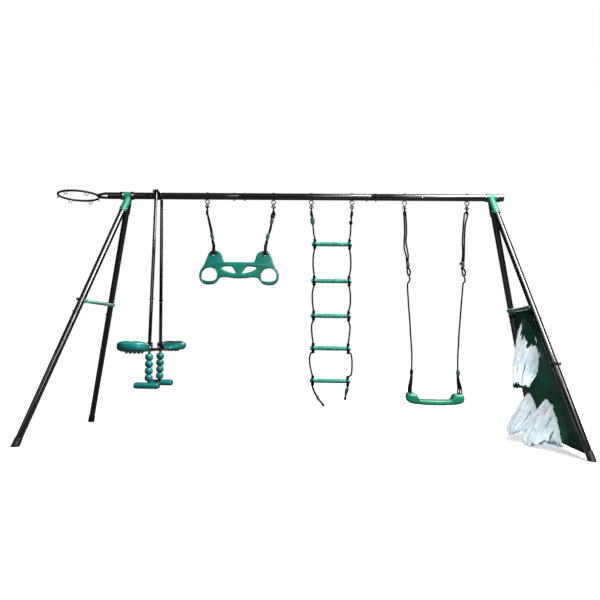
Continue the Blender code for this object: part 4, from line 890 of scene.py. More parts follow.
# ================================================================= eye bolts
EYES = {"trapeze_left": TRAPEZE_HOOKS[0], "trapeze_right": TRAPEZE_HOOKS[1], "ladder_left": LADDER_HOOKS[0],
        "ladder_right": LADDER_HOOKS[1], "swing_left": SWING_HOOKS[0], "swing_right": SWING_HOOKS[1]}
TOP, UNDER = BAR_Z + BAR_R, BAR_Z - BAR_R
for label, x in EYES.items():
    at = (x, 0, 0)
    geos = [
        turned([(0.0040, UNDER + 0.003), (0.0040, UNDER - 0.0002), (0.0105, UNDER - 0.0004), (0.0105, UNDER - 0.0020), (0.0064, UNDER - 0.0044), (0.0046, 1.7522), (0.0, 1.7522)], at, Z_AXIS, 32, 0.0004),
        tube([(x + 0.0145 * math.cos(t), 0, 1.7380 + 0.0145 * math.sin(t)) for t in np.linspace(0, TAU, 48, endpoint=False)], 0.0044, 18, closed=True),
    ]
    piece("eye_head_" + label, [
        turned([(0.0120, TOP - 0.0030), (0.0120, TOP + 0.0006), (0.0104, TOP + 0.0018), (0.0060, TOP + 0.0034), (0.0, TOP + 0.0038)], at, Z_AXIS, 36, 0.0008),
    ], CAP, "root", (), 30)
    piece("eye_" + label, geos, DULL_ZINC, "root", ["eye_bolt_" + label])


def hook(x):
    """A spring hook: its upper bow runs through the eye and its lower bow is
    turned a quarter round, so that it shows its width; one side has a sleeve."""
    top, low = LINK_TOP_Z - LINK_HALF, LINK_LOW_Z + 0.0115
    pts = []
    for t in np.linspace(0, TAU, 96, endpoint=False):
        c, s = math.cos(t), math.sin(t)
        z = top + LINK_HALF * s if s >= 0 else low + 0.0115 * s
        if abs(s) < 0.25:
            z = low + (top - low) * (0.5 + s / 0.5)
        wide = LINK_HALF if z > (top + low) / 2 else 0.0150
        q = min(max((top - z) / (top - low), 0.0), 1.0)
        turn = math.radians(88) * q * q * (3 - 2 * q)
        r = wide * c if abs(s) >= 0.25 else 0.0098 * (1 if c > 0 else -1)
        pts.append((x + r * math.sin(turn), r * math.cos(turn), z))
    path = curve(pts, 0.0016, True)
    geos = [tube(path, LINK_R + 0.0011, 16, closed=True)]
    k = len(path) // 2 + 3
    part = path[k:k + 7]
    geos.append(tube(part, [0.0038, 0.0044, 0.0044, 0.0042, 0.0044, 0.0044, 0.0038][:len(part)], 20))
    return geos


def slide(centre, axis=(0, 0, 1), length=0.052, half=0.0130, thick=0.0080, lean=0.18):
    """A rope adjuster: a slim moulding with a waist and two rope holes' lips."""
    x, y, z = basis(axis)
    rings = []
    for t in np.radians(np.linspace(-86, 86, 25)):
        s = math.sin(t)
        w = half * math.cos(t) ** 0.60 * (1 + lean * s)
        h = thick * math.cos(t) ** 0.45
        a = np.linspace(0, TAU, 28, endpoint=False)
        c, q = np.cos(a), np.sin(a)
        rings.append(vec(centre) + z * (s * length / 2) + (np.sign(c) * np.abs(c) ** 0.8 * w)[:, None] * x + (np.sign(q) * np.abs(q) ** 0.8 * h)[:, None] * y)
    geos = [skin(rings)]
    for s in (-0.32, 0.32):
        lip = [vec(centre) + z * s * length + x * 0.0042 * math.cos(t) + y * (thick * 0.93) * 1.0 * -1 + z * 0.0042 * math.sin(t) for t in np.linspace(0, TAU, 20, endpoint=False)]
        geos.append(tube(lip, 0.0010, 8, closed=True))
    return geos


def sleeve_on(centre, axis, length=0.020, r=0.0078):
    """Whipping that binds a rope to itself: a wound sleeve."""
    n = 9
    profile = [(r * 0.8, -length / 2)]
    for k in range(n):
        s = -length / 2 + length * (k + 0.5) / n
        profile += [(r * 0.93, s - length / n * 0.45), (r, s)]
    profile += [(r * 0.8, length / 2)]
    return turned(profile, centre, axis, 24, 0.0003)


def rope_eye(x, bound=True):
    """The rope's bight round the hook's lower bow, and the sleeve under it."""
    z = LINK_LOW_Z
    pts = [(x, -0.0040, z - 0.040), (x, -0.0060, z - 0.022), (x, -0.0095, z - 0.004), (x, -0.0060, z + 0.0085), (x, 0.0, z + 0.0122),
           (x, 0.0060, z + 0.0085), (x, 0.0095, z - 0.004), (x, 0.0060, z - 0.022), (x, 0.0040, z - 0.040)]
    return [rope(pts, 0.0052)] + ([sleeve_on((x, 0, z - 0.037), Z_AXIS, 0.034, 0.0100)] if bound else [])


# =================================================================== trapeze
HALF = ((0.000, 1.289), (0.060, 1.288), (0.105, 1.289), (0.112, 1.293), (0.120, 1.311), (0.127, 1.338), (0.141, 1.359), (0.164, 1.3695), (0.194, 1.3742),
        (0.222, 1.362), (0.240, 1.325), (0.262, 1.268), (0.288, 1.226), (0.297, 1.190), (0.290, 1.152), (0.262, 1.124),
        (0.222, 1.118), (0.182, 1.126), (0.160, 1.146), (0.140, 1.170), (0.100, 1.176), (0.050, 1.169))
outline = flat_curve(list(HALF) + [(0.0, 1.167)] + [(-x, z) for x, z in reversed(HALF[1:])], 0.006)


def hand_hole(s, grow, n):
    """The D of a hand hole: arched above, flatter below."""
    out = []
    for a in np.linspace(0, TAU, n, endpoint=False):
        c, q = math.cos(a), math.sin(a)
        flat_c = math.copysign(abs(c) ** (0.78 if q < 0 else 0.94), c)
        flat_q = math.copysign(abs(q) ** (0.72 if q < 0 else 1.0), q)
        out.append((s * 0.2215 + (0.0575 + grow) * flat_c * (1 - 0.08 * q), 1.1955 + (0.0495 + grow) * flat_q))
    return out


hands = [hand_hole(s, 0.0, 64) for s in (-1, 1)]
WINDOW = ((0.055, 1.253), (0.087, 1.256), (0.118, 1.252), (0.129, 1.243), (0.112, 1.229), (0.085, 1.217), (0.055, 1.209), (0.026, 1.206), (0.032, 1.224))
windows = [flat_curve([(s * x, z) for x, z in WINDOW], 0.005) for s in (-1, 1)]
upright = Matrix.Translation((TRAPEZE_X, 0, 0)) @ Matrix.Rotation(math.radians(90), 4, "X")
trapeze = flat("trapeze_moulding", [outline] + hands + windows, 0.028, 0.0085, upright)
cuts = []
for s in (-1, 1):
    cuts.append(raw("c", turned([(0.0105, -0.03), (0.0105, 0.03), (0.0, 0.03), (0.0, -0.03)], (TRAPEZE_X + s * TRAPEZE_ATTACH, 0, TRAPEZE_PIVOT_Z), Y_AXIS, 40, 0.0002)))
    for d in (-1, 1):
        cuts.append(raw("c", turned([(0.0, 0.004), (0.0250, 0.004), (0.0268, 0.0055), (0.0275, 0.05), (0.0, 0.05)], (TRAPEZE_X + s * TRAPEZE_ATTACH, 0, TRAPEZE_PIVOT_Z + 0.004), (0, d, 0), 44, 0.0012)))
trapeze = combine(trapeze, cuts, "DIFFERENCE")
finish(trapeze, TRAPEZE_TEAL, "trapeze_bar", ["trapeze_bar"], 28)
# Raised lips round the hand holes.
lips = []
for s in (-1, 1):
    for y in (-0.0128, 0.0128):
        lips.append(tube([(TRAPEZE_X + x, y, z) for x, z in hand_hole(s, 0.0065, 72)], 0.0026, 10, closed=True))
piece("trapeze_grip_lips", lips, TRAPEZE_TEAL, "trapeze_bar", (), 60)

for s, x, label in ((-1, TRAPEZE_HOOKS[0], "left"), (1, TRAPEZE_HOOKS[1], "right")):
    end_x = TRAPEZE_X + s * TRAPEZE_ATTACH
    k = 0.0240
    z0 = TRAPEZE_PIVOT_Z
    top = Vector((x, 0, LINK_LOW_Z - 0.040))
    low = Vector((end_x, 0, z0 + 0.060))
    def along(z):
        t = (top.z - z) / (top.z - low.z)
        return top.lerp(low, t)
    geos = rope_eye(x)
    geos.append(rope([along(top.z + 0.004), along(1.60), along(1.50), along(1.44), low + Vector((0, 0, 0.020))], 0.0058, wander=0.0012, seed=3 + s))
    off = 0.0098
    if s < 0:
        geos.append(rope([along(1.652) + Vector((off * 0.3, 0, 0)), along(1.58) + Vector((off * 0.8, -0.002, 0)), along(1.51) + Vector((off * 0.9, 0, 0)), along(1.475) + Vector((off * 0.5, 0, 0))], 0.0052, wander=0.001, seed=5))
        slides = [along(1.477) + Vector((0.003, -0.0015, 0))]
    else:
        loop = [along(1.664), along(1.652) + Vector((-0.0105, 0, 0)), along(1.630) + Vector((-0.0115, 0, 0)), along(1.604), along(1.630) + Vector((0.0115, 0, 0)), along(1.652) + Vector((0.0105, 0, 0))]
        geos.append(rope(loop, 0.0054, closed=True, step=0.0028))
        geos.append(rope([along(1.575) + Vector((off * 0.7, 0, 0)), along(1.54) + Vector((off * 0.9, 0, 0)), along(1.50) + Vector((off * 0.6, 0, 0))], 0.0050))
        slides = [along(1.592) + Vector((0.002, -0.001, 0)), along(1.478) + Vector((-0.001, -0.001, 0))]
    geos.append(rope([along(1.455) + Vector((-0.0030, 0, 0)), along(1.43) + Vector((-0.0058, 0, 0)), (end_x - 0.0056, 0, z0 + 0.062)], 0.0056))
    geos.append(rope([along(1.455) + Vector((0.0030, 0, 0)), along(1.43) + Vector((0.0062, 0, 0)), (end_x + 0.0056, 0, z0 + 0.062)], 0.0056))
    geos.append(sleeve_on((end_x, 0, z0 + 0.058), Z_AXIS, 0.026, 0.0122))
    for o in (-0.0049, 0.0049):
        bight = [(end_x + o, 0, z0 + 0.050), (end_x + o, -0.016, z0 + 0.043), (end_x + o, -k, z0 + 0.026), (end_x + o, -k, z0 + 0.010), (end_x + o, -k + 0.007, z0 + 0.0005), (end_x + o, 0.0, z0),
                 (end_x + o, k - 0.007, z0 + 0.0005), (end_x + o, k, z0 + 0.010), (end_x + o, k, z0 + 0.026), (end_x + o, 0.016, z0 + 0.043)]
        geos.append(rope(bight, 0.0046, closed=True, step=0.0028))
    piece(f"trapeze_rope_{label}_strands", geos, ROPE, "trapeze_ropes", [f"trapeze_rope_{label}"], 60)
    piece(f"trapeze_hook_{label}", hook(x), DULL_ZINC, "trapeze_ropes", (), 60)
    piece(f"trapeze_slides_{label}", [g for c in slides for g in slide(c, top - low)], SLIDE_GREEN, "trapeze_ropes", (), 50)

# ==================================================================== ladder
for i, z in enumerate(RUNG_Z):
    a, b = 0.038, 0.335
    m = 48
    flute = 1 - 0.018 * (np.cos(np.arange(m) / m * TAU * 16) > 0.2)
    geos = [
        turned([(0.0, a), (0.0105, a), (0.0140, a + 0.0016), (0.0150, a + 0.005), (0.0150, a + 0.052), (0.0146, a + 0.055)] +
               [(0.0146, b - 0.055), (0.0150, b - 0.052), (0.0150, b - 0.005), (0.0140, b - 0.0016), (0.0105, b), (0.0, b)],
               (0, 0, z), X_AXIS, m, 0.0010, star=None),
    ]
    # fine grip ribs along the middle
    for k in range(16):
        t = TAU * k / 16
        geos.append(tube([(a + 0.060, 0.0145 * math.cos(t), z + 0.0145 * math.sin(t)), ((a + b) / 2, 0.0146 * math.cos(t), z + 0.0146 * math.sin(t)), (b - 0.060, 0.0145 * math.cos(t), z + 0.0145 * math.sin(t))], 0.0010, 8, dome=True))
    piece(f"ladder_rung_{i + 1}_grip", geos, RUNG_GREEN, "ladder", [f"ladder_rung_{i + 1}"], 40)

TAILS = (((0.070, 0.350), (0.098, 0.300), (0.128, 0.262), (0.144, 0.242)), ((0.312, 0.355), (0.303, 0.320), (0.299, 0.287)))
# Where each rope swings out between rungs: share of the drop, offset outward.
BOWS = (
    (((0.35, 0.010), (0.65, 0.009)), ((0.35, 0.012), (0.65, 0.010)), ((0.30, 0.014), (0.60, 0.010)), ((0.16, 0.017), (0.32, 0.026), (0.55, 0.020), (0.80, 0.006))),
    (((0.35, 0.009), (0.65, 0.010)), ((0.35, 0.010), (0.65, 0.011)), ((0.35, 0.012), (0.65, 0.006)), ((0.15, 0.019), (0.34, 0.029), (0.58, 0.030), (0.80, 0.024))),
)
for n, (side, x_hook, x) in enumerate(((-1, LADDER_HOOKS[0], LADDER_ROPE_X[0]), (1, LADDER_HOOKS[1], LADDER_ROPE_X[1]))):
    label = "left" if side < 0 else "right"
    geos = rope_eye(x_hook)
    start_at = (x_hook, 0, LINK_LOW_Z - 0.036)
    geos.append(rope([start_at, ((x_hook * 0.6 + x * 0.4), 0, 1.575), ((x_hook * 0.3 + x * 0.7), 0, 1.50), (x, 0, RUNG_Z[0] + 0.040), (x, 0, RUNG_Z[0] + 0.012)], 0.0060, wander=0.0012, seed=n))
    if side < 0:
        geos.append(rope([(x_hook + 0.002, 0, 1.664), (x_hook + 0.009, 0, 1.645), (x_hook + 0.010, 0, 1.615), (x_hook + 0.008, 0, 1.590)], 0.0056))
    else:
        geos.append(rope([(x_hook - 0.002, 0, 1.664), (x_hook - 0.007, 0, 1.648), (x_hook - 0.008, 0, 1.632), (x_hook - 0.004, 0, 1.618)], 0.0052))
        geos.append(knot((x_hook - 0.006, 0, 1.588), (-0.1, 0, 1), 0.0056, 2.2, 0.0080))
    for i, z in enumerate(RUNG_Z):
        geos.append(knot((x, 0, z + 0.0265), (0, 0, 1), 0.0050, 2.1, 0.0070))
        geos.append(knot((x + side * 0.001, 0, z - 0.0265), (0.15 * side, 0, 1), 0.0050, 2.1, 0.0074))
        # the hitch over the rung, in front and behind
        for f in (-1, 1):
            wrap = [(x - f * 0.002 - 0.008, f * 0.006, z + 0.0200), (x - 0.005, f * 0.0170, z + 0.0115), (x, f * 0.0203, z), (x + 0.006, f * 0.0170, z - 0.0115), (x + 0.009, f * 0.006, z - 0.0200)]
            geos.append(rope(wrap, 0.0046))
        if i + 1 < len(RUNG_Z):
            z2 = RUNG_Z[i + 1]
            bends = [(x + side * out, 0.0015 * (1 if j % 2 else -1), z + (z2 - z) * share) for j, (share, out) in enumerate(BOWS[n][i])]
            geos.append(rope([(x, 0, z - 0.012), (x + side * 0.001, 0, z - 0.032)] + bends + [(x, 0, z2 + 0.032), (x, 0, z2 + 0.012)], 0.0062, wander=0.0010, seed=20 + 5 * n + i))
    tail = [(x, 0, RUNG_Z[-1] - 0.012), (x + side * 0.002, 0, RUNG_Z[-1] - 0.036)] + [(tx, 0, tz) for tx, tz in TAILS[n]]
    geos.append(rope(tail, 0.0078, pitch=0.036))
    a, b = Vector((TAILS[n][-2][0], 0, TAILS[n][-2][1])), Vector((TAILS[n][-1][0], 0, TAILS[n][-1][1]))
    geos.append(sleeve_on(a.lerp(b, 0.72), b - a, 0.020, 0.0096))
    piece(f"ladder_rope_{label}_strands", geos, ROPE, "ladder", [f"ladder_rope_{label}"], 60)
    piece(f"ladder_hook_{label}", hook(x_hook), DULL_ZINC, "ladder", (), 60)
piece("ladder_slides", slide((0.0410, -0.0015, 1.600), (-0.10, 0, 1), 0.060, 0.0165, 0.0090, 0.10) + slide((0.1010, -0.003, 0.296), (-0.5, 0, 1), 0.044, 0.0110, 0.0084)
      + slide((0.3080, -0.003, 0.348), (0.26, 0, 1), 0.062, 0.0130, 0.0086, 0.25), SLIDE_GREEN, "ladder", (), 50)

# ===================================================================== swing
mid, half = (0.741 + 1.153) / 2, 0.206
TOPS = ((0.0, 0.3060), (0.060, 0.3062), (0.094, 0.3068), (0.108, 0.3090), (0.117, 0.316), (0.125, 0.331), (0.131, 0.343), (0.140, 0.3500), (0.162, 0.3522), (0.186, 0.3530), (0.198, 0.3495), (0.2030, 0.339), (0.2058, 0.318))
LOWS = ((0.0, 0.265), (0.060, 0.266), (0.146, 0.272), (0.176, 0.278), (0.190, 0.284), (0.200, 0.293), (0.2058, 0.306))
xs = np.concatenate([-half + (1 - np.cos(np.linspace(0.06, math.pi / 2, 26))) * 0.10, np.linspace(-half + 0.104, half - 0.104, 40)[0:], half - (1 - np.cos(np.linspace(0.06, math.pi / 2, 26)))[::-1] * 0.10])


def smooth_table(table, q):
    t = np.array(table)
    c = curve([(p[0], p[1], 0) for p in t], 0.001)
    return np.interp(q, c[:, 0], c[:, 1])


rings = []
m = 72
a = np.linspace(0, TAU, m, endpoint=False)
for x in np.unique(np.round(xs, 6)):
    top, low = smooth_table(TOPS, abs(x)), smooth_table(LOWS, abs(x))
    shrink = 1 - 0.10 * max(0.0, (abs(x) - 0.17) / 0.036) ** 2
    hy = 0.075 * shrink
    c, q = np.cos(a), np.sin(a)
    y = np.sign(c) * np.abs(c) ** 0.42 * hy
    z = (top + low) / 2 + np.sign(q) * np.abs(q) ** 0.50 * (top - low) / 2
    dish = 0.0045 * np.exp(-(x / 0.12) ** 4) * np.clip(1 - (y / 0.062) ** 2, 0, 1)
    z = z - dish * (q > 0.05)
    rings.append(np.stack([np.full(m, mid + x), y, z], 1))
seat = [skin(rings)]
for s in (-1, 1):
    for k in range(5):
        x = mid + s * (0.030 + 0.022 * k) - s * 0.0
        seat.append(tube(curve([(x, -0.046, 0.3030 + 0.0008 * k * 0), (x, 0, 0.3018), (x, 0.046, 0.3030)], 0.006), 0.0016, 8, dome=True))
piece("swing_seat_moulding", seat, GREEN, "swing", ["swing_seat"], 40)
grommets = []
for x in (0.768, 1.126):
    for y in (-0.050, 0.050):
        grommets.append(turned([(0.0052, 0.3490), (0.0095, 0.3490), (0.0100, 0.3530), (0.0085, 0.3555), (0.0058, 0.3555)], (x, y, 0), Z_AXIS, 28, 0.0008, closed=True))
piece("swing_seat_grommets", grommets, CAP, "swing", (), 40)

slides = []
for label, s, x_hook, ring_x, split_x, seat_x in (("left", -1, 0.716, 0.743, 0.7785, 0.768), ("right", 1, 1.170, 1.142, 1.1125, 1.126)):
    geos = rope_eye(x_hook, s < 0)
    # two legs of the doubled rope, all but touching, down to the adjuster
    g = 0.0068
    if s < 0:
        route = ((1.668, 0.0000, 1.00), (1.600, 0.0005, 0.98), (1.520, -0.0020, 1.00), (1.450, -0.0090, 1.00), (1.400, -0.0070, 1.50), (1.350, 0.0005, 1.15))
    else:
        route = ((1.660, -0.0030, 1.75), (1.622, -0.0060, 1.45), (1.580, -0.0100, 1.05), (1.500, -0.0085, 1.00), (1.440, -0.0060, 1.00), (1.380, -0.0010, 0.80))

    def line(z):
        t = (LINK_LOW_Z - z) / (LINK_LOW_Z - 1.281)
        return x_hook + (ring_x - x_hook) * t

    for f in (-1, 1):
        pts = [(x_hook + f * 0.0040, 0, LINK_LOW_Z - 0.018)] + [(line(z) + o + f * g * w, 0.0012 * f, z) for z, o, w in route]
        pts += [(line(1.325) + f * 0.0056, 0, 1.325), (ring_x + f * 0.0050, 0, 1.281)]
        geos.append(rope(pts, 0.0062, wander=0.0008, seed=40 + f + s))
    # the loose loop below the adjuster, to the right of the rope
    turn = 0.0125
    loop = [(ring_x + 0.001, 0, 1.264), (ring_x - 0.0020, 0.004, 1.240), (ring_x + 0.002, 0.003, 1.217), (ring_x + 0.010, 0, 1.203), (ring_x + turn + 0.0065, -0.003, 1.218), (ring_x + turn + 0.0040, -0.003, 1.242)]
    geos.append(rope(loop, 0.0062, closed=True, step=0.0028))
    geos.append(knot((ring_x - s * 0.002, 0, 1.262), (0, 0, 1), 0.0052, 1.6, 0.0078))
    if s > 0:
        geos.append(knot((ring_x - 0.012, 0, 1.296), (0.3, 0, 1), 0.0050, 1.6, 0.0074))
    geos.append(rope([(ring_x + 0.012, 0, 1.200), (ring_x + 0.0165, 0, 1.182), (ring_x + 0.0165, 0, 1.168), (ring_x + 0.004, 0, 1.148), (ring_x + 0.001, 0, 1.120), (ring_x + (split_x - ring_x) * 0.25, 0, 1.000), (ring_x + (split_x - ring_x) * 0.5 - s * 0.003, 0, 0.86),
                      (split_x - s * 0.001, 0, 0.62), (split_x, 0, 0.498)], 0.0060, wander=0.0012, seed=50 + s))
    geos.append(knot((split_x, 0, 0.500), (0, 0, 1), 0.0056, 3.0, 0.0076))
    geos.append(sleeve_on((split_x, 0, 0.462), Z_AXIS, 0.048, 0.0094))
    # the bridle legs, each doubled and a little apart
    splay = 0.0080 if s > 0 else 0.0062
    for f in (-1, 1):
        for o in (-1, 1):
            geos.append(rope([(split_x + o * 0.0034, f * 0.003, 0.480), (split_x * 0.8 + seat_x * 0.2 + o * 0.0050, f * 0.012, 0.446), (seat_x + o * splay, f * 0.040, 0.385), (seat_x + o * (splay - 0.0004), f * 0.050, 0.350), (seat_x + o * 0.0050, f * 0.050, 0.335)], 0.0056))
    piece(f"swing_rope_{label}_strands", geos, ROPE, "swing", [f"swing_rope_{label}"], 60)
    piece(f"swing_hook_{label}", hook(x_hook), DULL_ZINC, "swing", (), 60)
    slides += slide((ring_x + 0.002, -0.0015, 1.281), (0, 0, 1), 0.052, 0.0125, 0.0086)
piece("swing_slides", slides, SLIDE_GREEN, "swing", (), 50)
piece("swing_slide_low", slide((1.1142, -0.0015, 0.497), (-0.05, 0, 1), 0.036, 0.0135, 0.0125), SLIDE_GREEN, "swing", (), 50)

# ==================================================================== glider
# Bracket: two half straps round the bar, with forked arms.
strap = [turned([(0.0305, -0.022), (0.0305, 0.022), (0.0259, 0.022), (0.0259, -0.022)], (GX, 0, BAR_Z), X_AXIS, 56, 0.0007, closed=True)]
for f in (-1, 1):
    for c in (-1, 1):
        x0, x1 = sorted((GX + c * 0.0154, GX + c * 0.0210))
        y0, y1 = sorted((f * 0.024, f * 0.106))
        strap.append(block((x0, y0, 1.7885), (x1, y1, 1.8130), 0.0018))
    y0, y1 = sorted((f * 0.0265, f * 0.059))
    strap.append(block((GX - 0.0200, y0, 1.7885), (GX + 0.0200, y1, 1.8130), 0.0018))
piece("glider_bracket_straps", strap, BLACK, "root", ["glider_bracket"])


def pin(x, y, z, half):
    at = (x, y, z)
    return [
        turned([(0.0, -half - 0.002), (0.0040, -half - 0.002), (0.0040, half + 0.002), (0.0, half + 0.002)], at, X_AXIS, 24, 0.0003),
        turned([(0.0050, half + 0.0004), (0.0086, half + 0.0004), (0.0086, half + 0.0016), (0.0050, half + 0.0016)], at, X_AXIS, 32, 0.0003, closed=True),
        turned([(0.0078, half + 0.0014), (0.0072, half + 0.0045), (0.0045, half + 0.0062), (0.0, half + 0.0066)], at, X_AXIS, 32, 0.0008),
        turned([(0.0, -half - 0.0075), (0.0030, -half - 0.0072), (0.0066, -half - 0.0060), (0.0078, -half - 0.0050), (0.0078, -half - 0.0005), (0.0, -half - 0.0005)], at, X_AXIS, 36, 0.0004, star=hexagon()),
    ]


for row, f in ROWS.items():
    piece(f"glider_top_pin_{row}_bolt", pin(GX, f * G_TOP_Y, G_TOP_Z, 0.0210), ZINC, "root", [f"glider_top_pin_{row}"], 30)
    piece(f"glider_low_pin_{row}_bolt", pin(GX, f * G_LOW_Y, G_LOW_Z, 0.0200), ZINC, "glider_carriage", [f"glider_low_pin_{row}"], 30)
    body = f"glider_{row}_hanger"
    top, low = Vector((GX, f * G_TOP_Y, G_TOP_Z)), Vector((GX, f * G_LOW_Y, G_LOW_Z))
    d = (low - top).normalized()
    length = (low - top).length
    joint = 0.815
    geos = [
        turned([(0.0125, 0.0095), (0.0125, joint - 0.002), (0.0128, joint), (0.0112, joint), (0.0112, 0.0095)], top, d, 40, 0.0004, closed=True),
        turned([(0.0118, joint + 0.0004), (0.0125, joint + 0.002), (0.0125, length - 0.0095), (0.0112, length - 0.0095), (0.0108, joint - 0.02), (0.0112, joint - 0.03), (0.0116, joint - 0.02)], top, d, 40, 0.0004, closed=True),
    ]
    for centre, open_eye in ((top, False), (low, row == "rear")):
        bore = 0.0080 if open_eye else 0.0046
        if open_eye:
            outer = turned([(0.0130, -0.0120), (0.0130, 0.0120), (0.0104, 0.0120), (0.0104, -0.0120)], centre, X_AXIS, 48, 0.0006, closed=True)
            bush = turned([(0.0106, -0.0115), (0.0106, 0.0115), (0.0080, 0.0115), (0.0080, -0.0115)], centre + Vector((0, 0.0024, 0)), X_AXIS, 48, 0.0003, closed=True)
            geos += [outer, bush]
        else:
            geos.append(turned([(0.0130, -0.0120), (0.0130, 0.0120), (bore, 0.0120), (bore, -0.0120)], centre, X_AXIS, 48, 0.0006, closed=True))
    piece(f"glider_hanger_{row}_tube", geos, BLACK, body, [f"glider_hanger_{row}"])
    at = top + d * (joint - 0.014)
    piece(f"glider_hanger_{row}_bolts", bolt(at + X_AXIS * 0.0122, (1, 0, 0), 0.0050, 0.0040) + dome(at - X_AXIS * 0.0122, (-1, 0, 0), 0.0050, 0.0040), ZINC, body, (), 30)

frame_geos = [
    turned([(0.0, -0.640), (0.0118, -0.640), (0.0125, -0.6385), (0.0125, 0.6385), (0.0118, 0.640), (0.0, 0.640)], (GX, 0, G_BEAM_Z), Y_AXIS, 44, 0.0006),
    turned([(0.0, -0.245), (0.0104, -0.245), (0.0110, -0.2435), (0.0110, 0.2435), (0.0104, 0.245), (0.0, 0.245)], (GX, 0, G_FOOT_Z), Y_AXIS, 40, 0.0006),
]
for row, f in ROWS.items():
    y = f * G_LOW_Y
    frame_geos.append(turned([(0.0100, G_FOOT_Z), (0.0100, G_BEAM_Z), (0.0, G_BEAM_Z), (0.0, G_FOOT_Z)], (GX, y, 0), Z_AXIS, 36, 0.0003))
    frame_geos.append(block((GX - 0.0198, y - 0.0170, G_BEAM_Z - 0.004), (GX + 0.0198, y + 0.0170, G_BEAM_Z + 0.0130), 0.002))
    for c in (-1, 1):
        x0, x1 = sorted((GX + c * 0.0152, GX + c * 0.0200))
        frame_geos.append(block((x0, y - 0.0170, G_BEAM_Z - 0.004), (x1, y + 0.0170, G_LOW_Z + 0.0150), 0.0016))
piece("glider_frame_tubes", frame_geos, BLACK, "glider_carriage", ["glider_frame"])

BEADS, PITCH, LOW = 4, 0.0500, 0.4030
for row, f in ROWS.items():
    profile = [(0.0104, LOW)]
    for k in range(BEADS):
        zc = LOW + PITCH * (k + 0.5)
        for a in (-80, -66, -50, -34, -18, 0, 18, 34, 50, 66, 80):
            profile.append((0.011 + 0.0185 * math.cos(math.radians(a)) ** 0.9, zc + PITCH * 0.485 * math.sin(math.radians(a))))
    profile += [(0.0104, LOW + BEADS * PITCH), (0.0102, LOW + BEADS * PITCH - 0.002), (0.0102, LOW + 0.002)]
    sleeve = [turned(profile, (GX, f * G_LOW_Y, 0), Z_AXIS, 56, 0.0006, closed=True)]
    for k in range(BEADS):
        zc = LOW + PITCH * (k + 0.5)
        for t in np.linspace(0, TAU, 8, endpoint=False):
            ridge = [(GX + (0.0112 + 0.0186 * math.cos(b) ** 0.9) * math.cos(t), f * G_LOW_Y + (0.0112 + 0.0186 * math.cos(b) ** 0.9) * math.sin(t), zc + PITCH * 0.485 * math.sin(b)) for b in np.radians(np.linspace(-62, 62, 11))]
            sleeve.append(tube(ridge, 0.0009, 6, dome=True))
    piece(f"bead_sleeve_{row}_moulding", sleeve, TEAL, "glider_carriage", [f"bead_sleeve_{row}"], 50)

